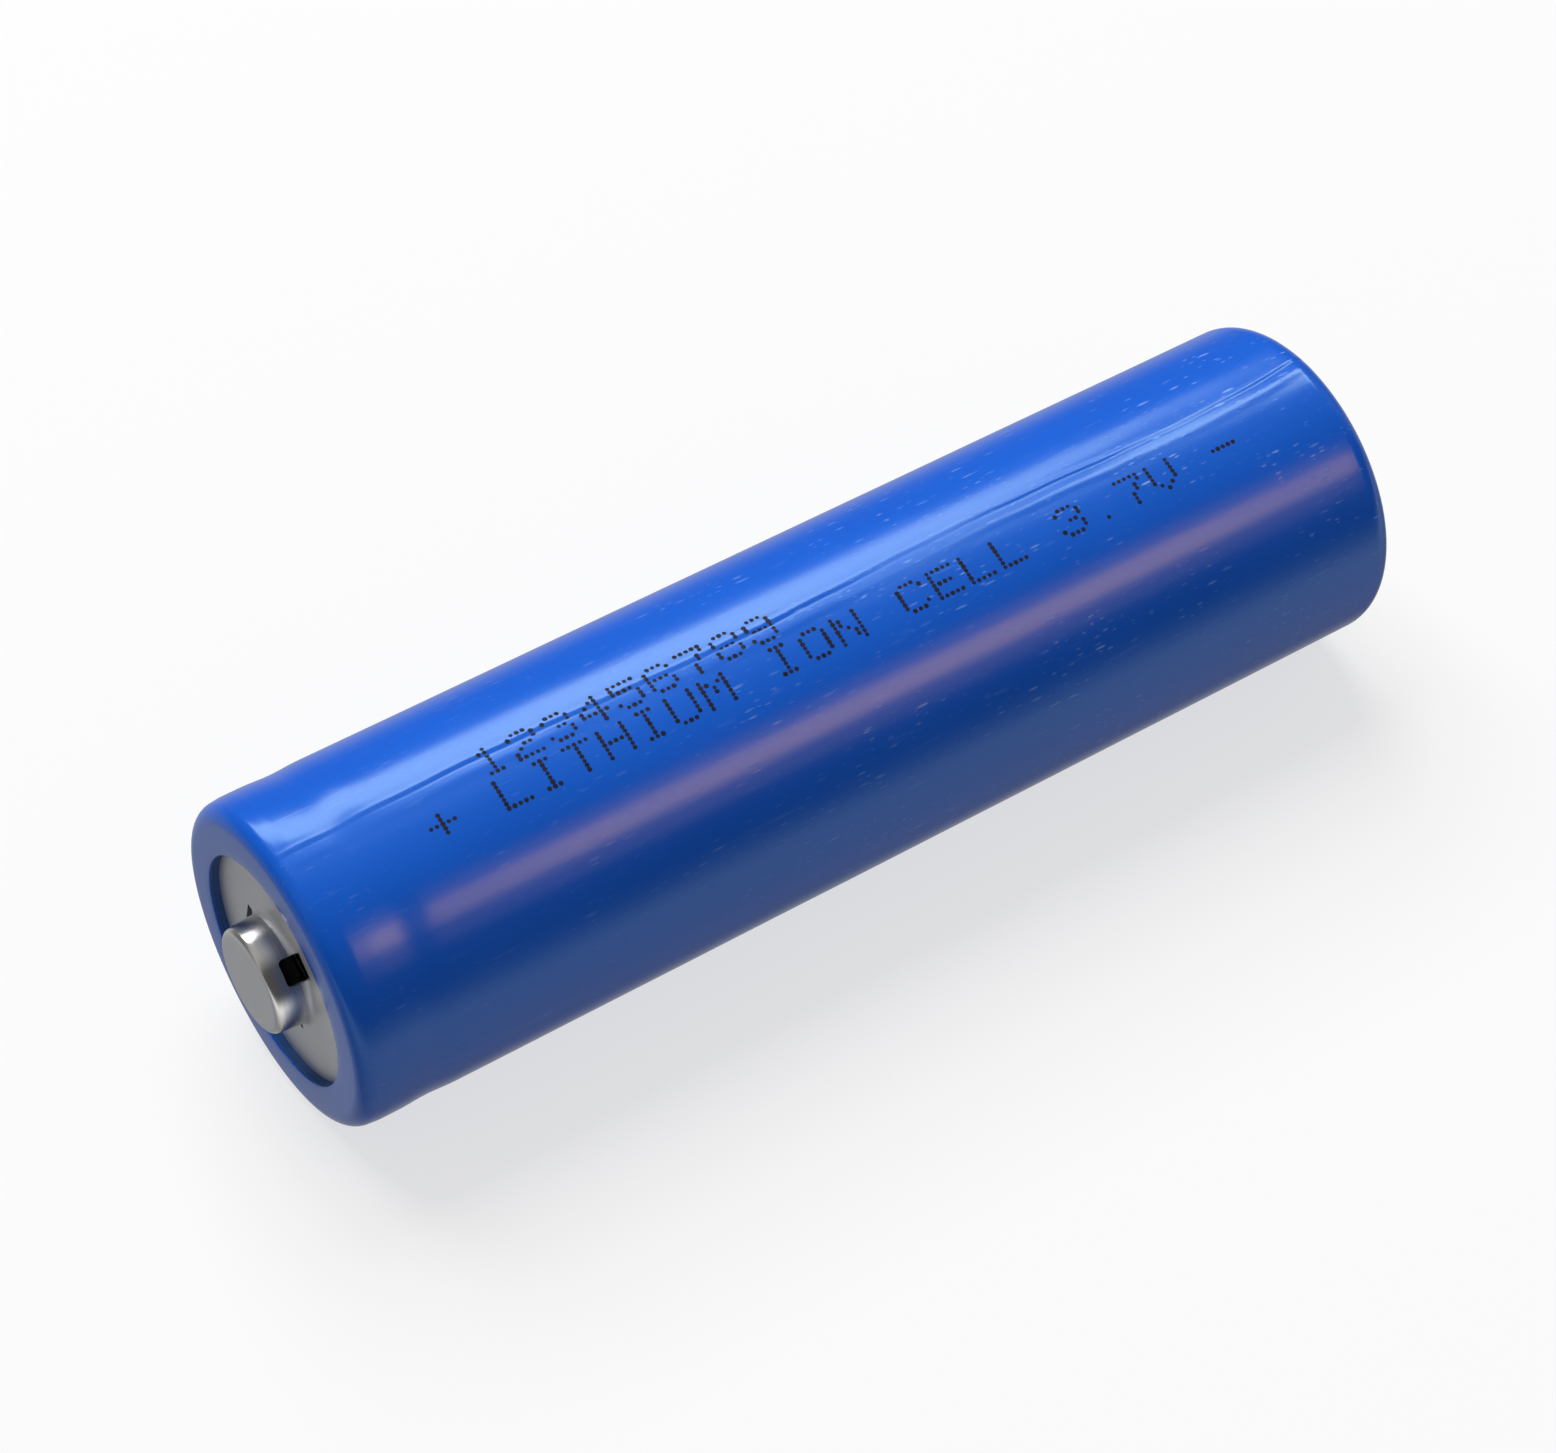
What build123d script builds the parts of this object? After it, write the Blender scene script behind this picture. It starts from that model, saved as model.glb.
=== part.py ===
from build123d import *
import os
from math import cos, pi, radians, sin

# Button-top cylindrical lithium-ion cell, 18650 size, lying along +X with its positive
# button toward +X.  X = 0 is the bare bottom of the can, which is the negative terminal,
# and the cell's axis is the X axis.  Lengths are millimetres; "r" is a radius about X.

os.makedirs("parts", exist_ok=True)

# ---------------------------------------------------------------- sleeve and can
SLEEVE_R = 9.10            # outside radius over the shrink sleeve
SLEEVE_T = 0.12            # shrink film thickness
BODY_END = 65.48           # outer plane of the sleeve lip round the positive cap
LIP_R = 6.45               # hole in the sleeve at the positive end
FOOT_LIP_R = 7.40          # hole in the sleeve at the negative end
SHOULDER_R = 1.00          # sleeve's rounding at the positive rim
SHOULDER_DRAW = 0.15       # how far the film is drawn in before that rounding
SHOULDER_RUN = 1.50        # length over which it is drawn in
SHOULDER_BLEND = 3.00      # rounding where it starts to be drawn in
FOOT_R = 1.35              # sleeve's rounding at the negative rim
WAIST_X = 61.25            # middle of the rolled bead, seen as a shallow waist
WAIST_DEPTH = 0.07         # how far the film sinks over the bead
WAIST_HALF = 1.70          # half the length of that waist
WASHER_T = 0.12            # insulating ring under the sleeve lip
WASHER_SETBACK = 0.03      # ring's hole is this much larger than the lip's

CAN_T = 0.22               # steel wall
CAN_FLOOR = 0.30           # steel bottom
CAN_SLACK = 0.02           # film stands clear of the steel beyond the bead
FLOOR_ROUND = 0.90         # inner corner of the can bottom
LAND_R = 7.20              # coined contact land on the can bottom
LAND_STEP = 0.04           # land's height above the ring that the film covers
BEAD_R = 7.95              # outside radius at the bottom of the rolled bead
BEAD_HALF = 0.68           # half width of the bead groove
BEAD_SLOPE = 0.45          # length of each flank of the groove
BEAD_ROUND = 0.30
CRIMP_R = 6.78             # inner edge of the crimped rim

# ---------------------------------------------------------------- positive cap
BUTTON_PROUD = 1.40        # button top above the lip plane
RECESS = 0.60              # cap flange below the lip plane
BUTTON_R = 3.08            # button wall carried down to the flange
BUTTON_TOP_R = 2.90        # button wall carried up to the top
BUTTON_FOOT_ROUND = 0.30
BUTTON_TOP_ROUND = 0.38
CAP_T = 0.38               # cap sheet
FLANGE_R = 7.85            # cap flange, PTC ring and vent disc rim
VENT_WINDOWS = 3           # openings at the foot of the button wall
VENT_WINDOW_W = 1.50
VENT_WINDOW_H = 1.00       # above the flange
VENT_WINDOW_ROUND = 0.28
VENT_WINDOW_R0 = 2.35      # each window is cut between these two radii
VENT_WINDOW_R1 = 3.62
VENT_WINDOW_TURN = 44.0    # first window, degrees from +Y toward +Z

# ---------------------------------------------------------------- safety stack
PTC_T = 0.45
PTC_HOLE_R = 4.60
VENT_RIM_T = 0.45
VENT_SHEET = 0.28          # dished part of the vent disc
DISH_DROP = 0.75           # dish below the rim
NIB_DROP = 0.45            # welded nib below the dish
DISH_OUT_R = 5.55          # outer and inner foot of the dish's cone
DISH_IN_R = 4.35
NIB_OUT_R = 1.10
NIB_IN_R = 0.75
SCORE_R = 3.30             # burst score ring
SCORE_HALF = 0.12
SCORE_DEPTH = 0.14
PLATE_T = 0.37             # current-interrupt plate
PLATE_R = 6.10
PLATE_LAND_R = 1.55        # raised middle that meets the nib
PLATE_LAND_STEP = 0.03
PLATE_HOLES = 5
PLATE_HOLE_R = 0.65
PLATE_HOLE_RING = 3.40
CUP_OUT_R = 6.60           # insulating cup between vent disc and plate
CUP_TOP_R = 5.90
CUP_LEDGE_R = 4.75
CUP_SLACK = 0.05
GASKET_HOLE_R = 6.75
GASKET_SLACK = 0.06        # clearance to the can before crimping
GASKET_BASE = 0.62         # thick foot resting on the bead's shelf
GASKET_LAP = 0.01          # contact faces stay this far apart

# ---------------------------------------------------------------- wound electrodes
CORE_R = 1.80              # first turn of the winding
CATHODE_T = 0.135
ANODE_T = 0.150
SEPARATOR_T = 0.020
TAPE_T = 0.050
FILM_GAP = 0.006           # clearance between wound layers
TURNS = 18.5
ROLL_X0, ROLL_X1 = 0.85, 59.20                 # separator edges
CATHODE_X0, CATHODE_X1 = 2.20, 57.80
ANODE_X0, ANODE_X1 = 1.60, 58.40
TAPE_INSET = 1.50          # closing tape stops this far inside the separator edges
PIN_X0, PIN_X1 = 1.20, 58.80
PIN_R = 1.45
PIN_T = 0.20
PIN_SLIT = 0.50

# ---------------------------------------------------------------- tabs and insulators
TAB_W = 4.0
TAB_T = 0.10
TAB_BEND = 0.40            # inside radius where a tab folds back
CATHODE_TURN = 8           # turn of the winding that carries the cathode tab
CATHODE_RUN_X = 59.98      # first level run of the cathode tab
CATHODE_BEND_Z = -3.40
CATHODE_END_Z = 2.40
TAB_TAPE_T = 0.06
TAB_TAPE_L = 6.60
TAB_TAPE_MARGIN = 0.60     # tape beyond each edge of the tab
INSULATOR_T = 0.20
TOP_INSULATOR_X = 59.50
TOP_INSULATOR_R = 7.60
GAS_HOLES = 4
GAS_HOLE_R = 0.80
GAS_HOLE_RING = 5.60
CORE_HOLE_R = 1.60         # hole over the core in both insulators
BOTTOM_INSULATOR_X = 0.47
BOTTOM_INSULATOR_R = 7.90
TAB_SLOT_MARGIN = 0.50     # insulator slot beyond each edge of the tab
FOOT_TAB_REACH = 2.20      # anode tab runs this far past the axis
CONTACT = 0.01             # welded and stacked faces stay this far apart

# ---------------------------------------------------------------- derived sizes
CAN_R = SLEEVE_R - SLEEVE_T
CAN_IN_R = CAN_R - CAN_T
FILM_FOOT_ROUND = FOOT_R - SLEEVE_T            # film's inner roundings
FILM_RIM_ROUND = SHOULDER_R - SLEEVE_T
LIP_IN = BODY_END - SLEEVE_T                   # underside of the sleeve lip
SHOULDER_X = BODY_END - SHOULDER_RUN
CRIMP_OUT = LIP_IN - WASHER_T                  # outer plane of the crimped rim
CRIMP_IN = CRIMP_OUT - CAN_T
FLANGE_TOP = BODY_END - RECESS
FLANGE_IN = FLANGE_TOP - CAP_T
BUTTON_TOP = BODY_END + BUTTON_PROUD
PTC_IN = FLANGE_IN - PTC_T
VENT_IN = PTC_IN - VENT_RIM_T
DISH_X = VENT_IN - DISH_DROP
NIB_X = DISH_X - NIB_DROP
PLATE_TOP = NIB_X - PLATE_LAND_STEP
PLATE_IN = PLATE_TOP - PLATE_T
BEAD_X0 = WAIST_X - BEAD_HALF
BEAD_X1 = WAIST_X + BEAD_HALF
SHELF = BEAD_X1 + CAN_T                        # inner shelf of the bead, under the gasket
FOOT_LIP_X = LAND_STEP - SLEEVE_T              # outer plane of the negative lip
PITCH = CATHODE_T + ANODE_T + 2 * SEPARATOR_T + 4 * FILM_GAP


# ---------------------------------------------------------------- helpers
def turned(*corners):
    """Solid of revolution about X from (x, r) or (x, r, fillet) corners."""
    points = [(c[0], c[1]) for c in corners]
    fillets = [c[2] if len(c) > 2 else 0 for c in corners]
    outline = FilletPolyline(*points, radius=fillets, close=True)
    return revolve(make_face(outline), Axis.X)


def round_bar(x0, x1, radius, at_radius=0.0, turn=0.0):
    """Round bar along X between two planes, also used to cut round holes."""
    y, z = at_radius * cos(radians(turn)), at_radius * sin(radians(turn))
    bar = Cylinder(radius, x1 - x0, rotation=(0, 90, 0))
    return Pos((x0 + x1) / 2, y, z) * bar


def waist(radius):
    """Film profile across the rolled bead: flat, a smooth dip, then flat again."""
    steps = 8
    return [
        (
            WAIST_X - WAIST_HALF + 2 * WAIST_HALF * k / steps,
            radius - WAIST_DEPTH * sin(pi * k / steps) ** 2,
        )
        for k in range(steps + 1)
    ]


def half_turn_arc(radius, lower):
    """One half turn of the winding: upper and lower halves have their own centres."""
    centre = PITCH / 4 if lower else -PITCH / 4
    side = -1 if lower else 1
    start, end = centre + side * radius, centre - side * radius
    return (start, 0), (centre, side * radius), (end, 0)


def wound(first_radius, thickness, x0, x1, first_half=0, halves=int(2 * TURNS)):
    """Sheet wound about X: chained half circles, each half a pitch larger."""
    inner, outer = [], []
    for k in range(first_half, first_half + halves):
        grow = first_radius + k * PITCH / 2
        inner.append(ThreePointArc(*half_turn_arc(grow, k % 2 == 1)))
        outer.append(ThreePointArc(*half_turn_arc(grow + thickness, k % 2 == 1)))
    closing = [
        Line(inner[0] @ 0, outer[0] @ 0),
        Line(inner[-1] @ 1, outer[-1] @ 1),
    ]
    sheet = make_face(Wire(inner + outer + closing))
    plane = Plane(origin=(x0, 0, 0), x_dir=(0, 1, 0), z_dir=(1, 0, 0))
    return extrude(plane * sheet, x1 - x0)


def tab_leg(radius, x0, x1):
    """Curved foot of a tab, lying in the empty margin of its own electrode's layer."""
    shell = round_bar(x0, x1, radius + TAB_T) - round_bar(x0 - 1, x1 + 1, radius)
    keep = Pos((x0 + x1) / 2, 0, radius) * Box(x1 - x0, TAB_W, TAB_W)
    return Pos(0, -PITCH / 4, 0) * (shell & keep)


def hairpin(x_low, x_high, z_start, z_bend, z_end):
    """Tab strip running along -Z at x_low, bent round, and back along +Z at x_high."""
    half = TAB_T / 2
    outside, inside = TAB_BEND + half, TAB_BEND - half
    outline = FilletPolyline(
        (x_low - half, z_start),
        (x_low - half, z_bend - half),
        (x_high + half, z_bend - half),
        (x_high + half, z_end),
        (x_high - half, z_end),
        (x_high - half, z_bend + half),
        (x_low + half, z_bend + half),
        (x_low + half, z_start),
        radius=[0, outside, outside, 0, 0, inside, inside, 0],
        close=True,
    )
    plane = Plane(origin=(0, TAB_W / 2, 0), x_dir=(1, 0, 0), z_dir=(0, -1, 0))
    return extrude(plane * make_face(outline), TAB_W)


parts = {}

# ---------------------------------------------------------------- sleeve and washer
film_out = waist(SLEEVE_R)
film_in = waist(CAN_R)
outer_run = FilletPolyline(
    (FOOT_LIP_X, FOOT_LIP_R), (FOOT_LIP_X, SLEEVE_R), film_out[0], radius=FOOT_R
)
outer_waist = Spline(*film_out, tangents=[(1, 0), (1, 0)])
outer_end = FilletPolyline(
    film_out[-1],
    (SHOULDER_X, SLEEVE_R),
    (BODY_END, SLEEVE_R - SHOULDER_DRAW),
    (BODY_END, LIP_R),
    radius=[SHOULDER_BLEND, SHOULDER_R],
)
inner_end = FilletPolyline(
    (LIP_IN, LIP_R),
    (LIP_IN, CAN_R - SHOULDER_DRAW),
    (SHOULDER_X, CAN_R),
    film_in[-1],
    radius=[FILM_RIM_ROUND, SHOULDER_BLEND - SLEEVE_T],
)
inner_waist = Spline(*film_in, tangents=[(1, 0), (1, 0)])
inner_run = FilletPolyline(
    film_in[0], (LAND_STEP, CAN_R), (LAND_STEP, FOOT_LIP_R), radius=FILM_FOOT_ROUND
)
sleeve_lines = [
    outer_run,
    outer_waist,
    outer_end,
    Line((BODY_END, LIP_R), (LIP_IN, LIP_R)),
    inner_end,
    inner_waist,
    inner_run,
    Line((LAND_STEP, FOOT_LIP_R), (FOOT_LIP_X, FOOT_LIP_R)),
]
sleeve_edges = [edge for line in sleeve_lines for edge in line.edges()]
parts["pvc_sleeve"] = revolve(make_face(Wire(sleeve_edges)), Axis.X)

parts["insulating_washer"] = turned(
    (CRIMP_OUT, LIP_R + WASHER_SETBACK),
    (LIP_IN, LIP_R + WASHER_SETBACK),
    (LIP_IN, CAN_R - SHOULDER_DRAW - SHOULDER_R),
    (CRIMP_OUT, CAN_R - SHOULDER_DRAW - SHOULDER_R),
)

# ---------------------------------------------------------------- drawn steel can
# Deep-drawn cup, rolled in to a bead near the top and crimped over the gasket.
CORNER_EASE = 0.10
steel_r = CAN_R - CAN_SLACK
parts["can"] = turned(
    (0, 0),
    (0, LAND_R),
    (LAND_STEP, LAND_R + LAND_STEP),
    (LAND_STEP, CAN_R, FILM_FOOT_ROUND),
    (BEAD_X0 - BEAD_SLOPE, steel_r, BEAD_ROUND),
    (BEAD_X0, BEAD_R, BEAD_ROUND),
    (BEAD_X1, BEAD_R, BEAD_ROUND),
    (BEAD_X1 + BEAD_SLOPE, steel_r, BEAD_ROUND),
    (SHOULDER_X, steel_r, SHOULDER_BLEND - SLEEVE_T),
    (CRIMP_OUT, steel_r - SHOULDER_DRAW, FILM_RIM_ROUND),
    (CRIMP_OUT, CRIMP_R),
    (CRIMP_IN, CRIMP_R),
    (CRIMP_IN, CAN_IN_R - SHOULDER_DRAW, FILM_RIM_ROUND - CAN_T),
    (SHELF + BEAD_SLOPE, CAN_IN_R, CORNER_EASE),
    (SHELF, BEAD_R - CAN_T, BEAD_ROUND),
    (BEAD_X0 - CAN_T, BEAD_R - CAN_T, BEAD_ROUND),
    (BEAD_X0 - BEAD_SLOPE - CAN_T, CAN_IN_R, CORNER_EASE),
    (CAN_FLOOR, CAN_IN_R, FLOOR_ROUND),
    (CAN_FLOOR, 0),
)

# ---------------------------------------------------------------- positive cap
# One stamping: flange, drafted button wall and flat top, with vent windows at the foot.
cap = turned(
    (FLANGE_IN, FLANGE_R),
    (FLANGE_TOP, FLANGE_R),
    (FLANGE_TOP, BUTTON_R, BUTTON_FOOT_ROUND),
    (BUTTON_TOP, BUTTON_TOP_R, BUTTON_TOP_ROUND),
    (BUTTON_TOP, 0),
    (BUTTON_TOP - CAP_T, 0),
    (BUTTON_TOP - CAP_T, BUTTON_TOP_R - CAP_T, CORNER_EASE),
    (FLANGE_IN, BUTTON_R - CAP_T, 2 * CORNER_EASE),
)
window = Box(
    VENT_WINDOW_H + 2 * CAP_T,
    VENT_WINDOW_R1 - VENT_WINDOW_R0,
    VENT_WINDOW_W,
    align=(Align.MAX, Align.MIN, Align.CENTER),
)
window = fillet(window.edges().filter_by(Axis.Y), VENT_WINDOW_ROUND)
at_foot = Pos(FLANGE_TOP + VENT_WINDOW_H, VENT_WINDOW_R0, 0)
for k in range(VENT_WINDOWS):
    cap -= Rot(VENT_WINDOW_TURN + k * 360 / VENT_WINDOWS, 0, 0) * at_foot * window
parts["positive_cap"] = cap

# ---------------------------------------------------------------- safety stack
parts["ptc_ring"] = turned(
    (PTC_IN, PTC_HOLE_R),
    (FLANGE_IN, PTC_HOLE_R),
    (FLANGE_IN, FLANGE_R),
    (PTC_IN, FLANGE_R),
)
# Aluminium vent disc: rim, dished web with a score ring, and a nib welded to the
# current-interrupt plate.
cone_lag = 0.30                                # upper face's cone stands this far inboard
web_top = DISH_X + VENT_SHEET
parts["vent_disc"] = turned(
    (NIB_X, 0),
    (NIB_X, NIB_IN_R, CORNER_EASE),
    (DISH_X, NIB_OUT_R, CORNER_EASE),
    (DISH_X, DISH_IN_R, CORNER_EASE),
    (VENT_IN, DISH_OUT_R, CORNER_EASE),
    (VENT_IN, FLANGE_R),
    (PTC_IN, FLANGE_R),
    (PTC_IN, DISH_OUT_R - cone_lag, CORNER_EASE),
    (web_top, DISH_IN_R - cone_lag, CORNER_EASE),
    (web_top, SCORE_R + SCORE_HALF),
    (web_top - SCORE_DEPTH, SCORE_R),
    (web_top, SCORE_R - SCORE_HALF),
    (web_top, NIB_OUT_R, CORNER_EASE),
    (NIB_X + VENT_SHEET, NIB_IN_R - 1.5 * CORNER_EASE, CORNER_EASE),
    (NIB_X + VENT_SHEET, 0),
)
parts["cid_insulator"] = turned(
    (PLATE_TOP + CONTACT, CUP_LEDGE_R),
    (VENT_IN - CUP_SLACK, CUP_TOP_R),
    (VENT_IN - CUP_SLACK, CUP_OUT_R),
    (PLATE_IN, CUP_OUT_R),
    (PLATE_IN, PLATE_R + CUP_SLACK),
    (PLATE_TOP + CONTACT, PLATE_R + CUP_SLACK),
)
plate = turned(
    (PLATE_IN, 0),
    (PLATE_IN, PLATE_R),
    (PLATE_TOP, PLATE_R),
    (PLATE_TOP, PLATE_LAND_R),
    (NIB_X, PLATE_LAND_R - PLATE_LAND_STEP),
    (NIB_X, 0),
)
for k in range(PLATE_HOLES):
    turn = 90 + (k + 0.5) * 360 / PLATE_HOLES
    plate -= round_bar(NIB_X - 1, NIB_X + 1, PLATE_HOLE_R, PLATE_HOLE_RING, turn)
parts["cid_plate"] = plate

# Polypropylene gasket wrapped round the rims of cap, PTC ring and vent disc.
gasket_out_r = CAN_IN_R - GASKET_SLACK
parts["sealing_gasket"] = turned(
    (SHELF + GASKET_SLACK, GASKET_HOLE_R),
    (SHELF + GASKET_SLACK, BEAD_R - CAN_T - BEAD_ROUND / 2, BEAD_ROUND),
    (SHELF + GASKET_BASE, gasket_out_r, CORNER_EASE),
    (CRIMP_IN - GASKET_LAP, gasket_out_r - SHOULDER_DRAW, FILM_RIM_ROUND - CAN_T),
    (CRIMP_IN - GASKET_LAP, CRIMP_R - GASKET_LAP),
    (CRIMP_OUT - GASKET_LAP, CRIMP_R - GASKET_LAP),
    (CRIMP_OUT - GASKET_LAP, LIP_R + 2 * GASKET_LAP),
    (FLANGE_TOP + GASKET_LAP, LIP_R + 2 * GASKET_LAP),
    (FLANGE_TOP + GASKET_LAP, FLANGE_R + 2 * GASKET_LAP),
    (VENT_IN - GASKET_LAP, FLANGE_R + 2 * GASKET_LAP),
    (VENT_IN - GASKET_LAP, GASKET_HOLE_R),
)

# ---------------------------------------------------------------- wound electrodes
# Layer order from the core: separator, cathode, separator, anode.
cathode_r = CORE_R + SEPARATOR_T + FILM_GAP
outer_film_r = cathode_r + CATHODE_T + FILM_GAP
anode_r = outer_film_r + SEPARATOR_T + FILM_GAP
last_half = int(2 * TURNS)
parts["separator_inner"] = wound(CORE_R, SEPARATOR_T, ROLL_X0, ROLL_X1)
parts["cathode_sheet"] = wound(cathode_r, CATHODE_T, CATHODE_X0, CATHODE_X1)
parts["separator_outer"] = wound(outer_film_r, SEPARATOR_T, ROLL_X0, ROLL_X1)
parts["anode_sheet"] = wound(anode_r, ANODE_T, ANODE_X0, ANODE_X1)
# The closing tape follows the last turn of the roll for one more turn.
parts["closing_tape"] = wound(
    CORE_R, TAPE_T, ROLL_X0 + TAPE_INSET, ROLL_X1 - TAPE_INSET, last_half, 2
)

# Slit centre pin that keeps the core open as a gas path.
pin = round_bar(PIN_X0, PIN_X1, PIN_R) - round_bar(PIN_X0 - 1, PIN_X1 + 1, PIN_R - PIN_T)
slit = Box(PIN_X1 - PIN_X0 + 2, PIN_SLIT, 4 * PIN_T)
parts["centre_pin"] = pin - Pos((PIN_X0 + PIN_X1) / 2, 0, PIN_R) * slit

# ---------------------------------------------------------------- tabs and insulators
# Cathode tab: a leg out of the winding, one level run, and back to the plate's underside.
cathode_leg_r = cathode_r + CATHODE_TURN * PITCH + (CATHODE_T - TAB_T) / 2
cathode_mid_r = cathode_leg_r + TAB_T / 2
cathode_end_x = PLATE_IN - TAB_T / 2 - CONTACT
parts["cathode_tab"] = tab_leg(
    cathode_leg_r, CATHODE_X1 + CONTACT, CATHODE_RUN_X
) + hairpin(CATHODE_RUN_X, cathode_end_x, cathode_mid_r, CATHODE_BEND_Z, CATHODE_END_Z)
tape_x = CATHODE_RUN_X - TAB_T / 2 - TAB_TAPE_T
parts["tab_tape"] = Pos(tape_x, 0, 0) * Box(
    TAB_TAPE_T, TAB_W + 2 * TAB_TAPE_MARGIN, TAB_TAPE_L
)

top = round_bar(TOP_INSULATOR_X, TOP_INSULATOR_X + INSULATOR_T, TOP_INSULATOR_R)
top -= round_bar(TOP_INSULATOR_X - 1, TOP_INSULATOR_X + 1, CORE_HOLE_R)
slot_w = TAB_W + 2 * TAB_SLOT_MARGIN
top -= Pos(TOP_INSULATOR_X, 0, cathode_mid_r) * Box(2, slot_w, 2 * TAB_SLOT_MARGIN)
for k in range(GAS_HOLES):
    turn = 45 + k * 360 / GAS_HOLES
    top -= round_bar(
        TOP_INSULATOR_X - 1, TOP_INSULATOR_X + 1, GAS_HOLE_R, GAS_HOLE_RING, turn
    )
parts["top_insulator"] = top

# Anode tab: a leg out of the last turn, then flat across the can bottom.
anode_leg_r = anode_r + (TURNS - 1.5) * PITCH + (ANODE_T - TAB_T) / 2
foot_tab_x = CAN_FLOOR + CONTACT
strip_top = anode_leg_r + TAB_T / 2 - PITCH / 8
strip_middle = (strip_top - FOOT_TAB_REACH) / 2
strip = Box(TAB_T, TAB_W, strip_top + FOOT_TAB_REACH)
parts["anode_tab"] = (
    tab_leg(anode_leg_r, foot_tab_x, ANODE_X0 - CONTACT)
    + Pos(foot_tab_x + TAB_T / 2, 0, strip_middle) * strip
)
bottom = round_bar(
    BOTTOM_INSULATOR_X, BOTTOM_INSULATOR_X + INSULATOR_T, BOTTOM_INSULATOR_R
)
bottom -= round_bar(BOTTOM_INSULATOR_X - 1, BOTTOM_INSULATOR_X + 1, CORE_HOLE_R)
bottom -= Pos(BOTTOM_INSULATOR_X, 0, anode_leg_r) * Box(2, slot_w, 3 * TAB_SLOT_MARGIN)
parts["bottom_insulator"] = bottom

# ---------------------------------------------------------------- write the solids
for node, shape in parts.items():
    shape.label = node
    export_step(shape, f"parts/{node}.step")
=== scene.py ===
import math

import bmesh
import bpy
from bpy.props import (
    BoolProperty,
    FloatProperty,
    FloatVectorProperty,
    IntProperty,
    PointerProperty,
    StringProperty,
)
from mathutils import Matrix, Vector, noise


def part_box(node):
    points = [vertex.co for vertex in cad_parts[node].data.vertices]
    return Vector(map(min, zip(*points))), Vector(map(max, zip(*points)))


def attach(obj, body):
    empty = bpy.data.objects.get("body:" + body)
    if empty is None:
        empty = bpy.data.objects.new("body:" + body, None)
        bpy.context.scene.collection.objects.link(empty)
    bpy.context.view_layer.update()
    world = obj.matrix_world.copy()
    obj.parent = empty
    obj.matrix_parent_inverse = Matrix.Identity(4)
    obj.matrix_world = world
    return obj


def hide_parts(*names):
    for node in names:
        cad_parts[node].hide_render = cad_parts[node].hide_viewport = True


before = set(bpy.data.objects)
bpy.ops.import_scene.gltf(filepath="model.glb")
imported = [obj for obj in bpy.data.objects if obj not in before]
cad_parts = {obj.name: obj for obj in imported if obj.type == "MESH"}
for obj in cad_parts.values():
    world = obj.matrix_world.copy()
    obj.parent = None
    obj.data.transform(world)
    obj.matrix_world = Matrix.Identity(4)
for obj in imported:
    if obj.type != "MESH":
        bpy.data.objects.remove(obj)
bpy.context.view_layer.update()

bl_info = {
    "name": "Cylindrical Cell",
    "version": (1, 0, 0),
    "blender": (4, 5, 0),
    "location": "View3D > Sidebar > Cell",
    "description": "Sleeve, print, cap, can and inside parts of a button-top cylindrical cell",
    "category": "Object",
}

# The cell lies along +X with its negative face at X = 0 and its button toward +X.
# Angles round the axis are degrees from +Y toward +Z.
MM = 0.001
FILM_LO, FILM_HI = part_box("pvc_sleeve")
CAP_LO, CAP_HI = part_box("positive_cap")
WASHER_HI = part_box("insulating_washer")[1]
FILM_R = FILM_HI.z
FILM_T = FILM_HI.x - WASHER_HI.x
BUTTON_TOP = CAP_HI.x
FLANGE_R = CAP_HI.z


# ------------------------------------------------------------------ node trees
class Value:
    """A number socket, so that sums on it add Math nodes to its tree."""

    def __init__(self, graph, socket):
        self.graph = graph
        self.socket = socket

    def _math(self, operation, *inputs):
        node = self.graph.node(
            "ShaderNodeMath", {"operation": operation}, dict(enumerate(inputs))
        )
        return Value(self.graph, node.outputs[0])

    def __add__(self, other):
        return self._math("ADD", self, other)

    __radd__ = __add__

    def __sub__(self, other):
        return self._math("SUBTRACT", self, other)

    def __rsub__(self, other):
        return self._math("SUBTRACT", other, self)

    def __mul__(self, other):
        return self._math("MULTIPLY", self, other)

    __rmul__ = __mul__

    def __truediv__(self, other):
        return self._math("DIVIDE", self, other)

    def __rtruediv__(self, other):
        return self._math("DIVIDE", other, self)

    def fine(self, operation, *others):
        """One Math node by its operation's name."""
        return self._math(operation, self, *others)

    def rise(self, low, high):
        """0 below low, 1 above high and a smooth step between them."""
        node = self.graph.node(
            "ShaderNodeMapRange",
            {"interpolation_type": "SMOOTHSTEP"},
            {"Value": self, "From Min": low, "From Max": high},
        )
        return Value(self.graph, node.outputs["Result"])

    def between(self, low, high):
        """Straight blend from low at 0 to high at 1."""
        return low + self * (high - low)


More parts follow.
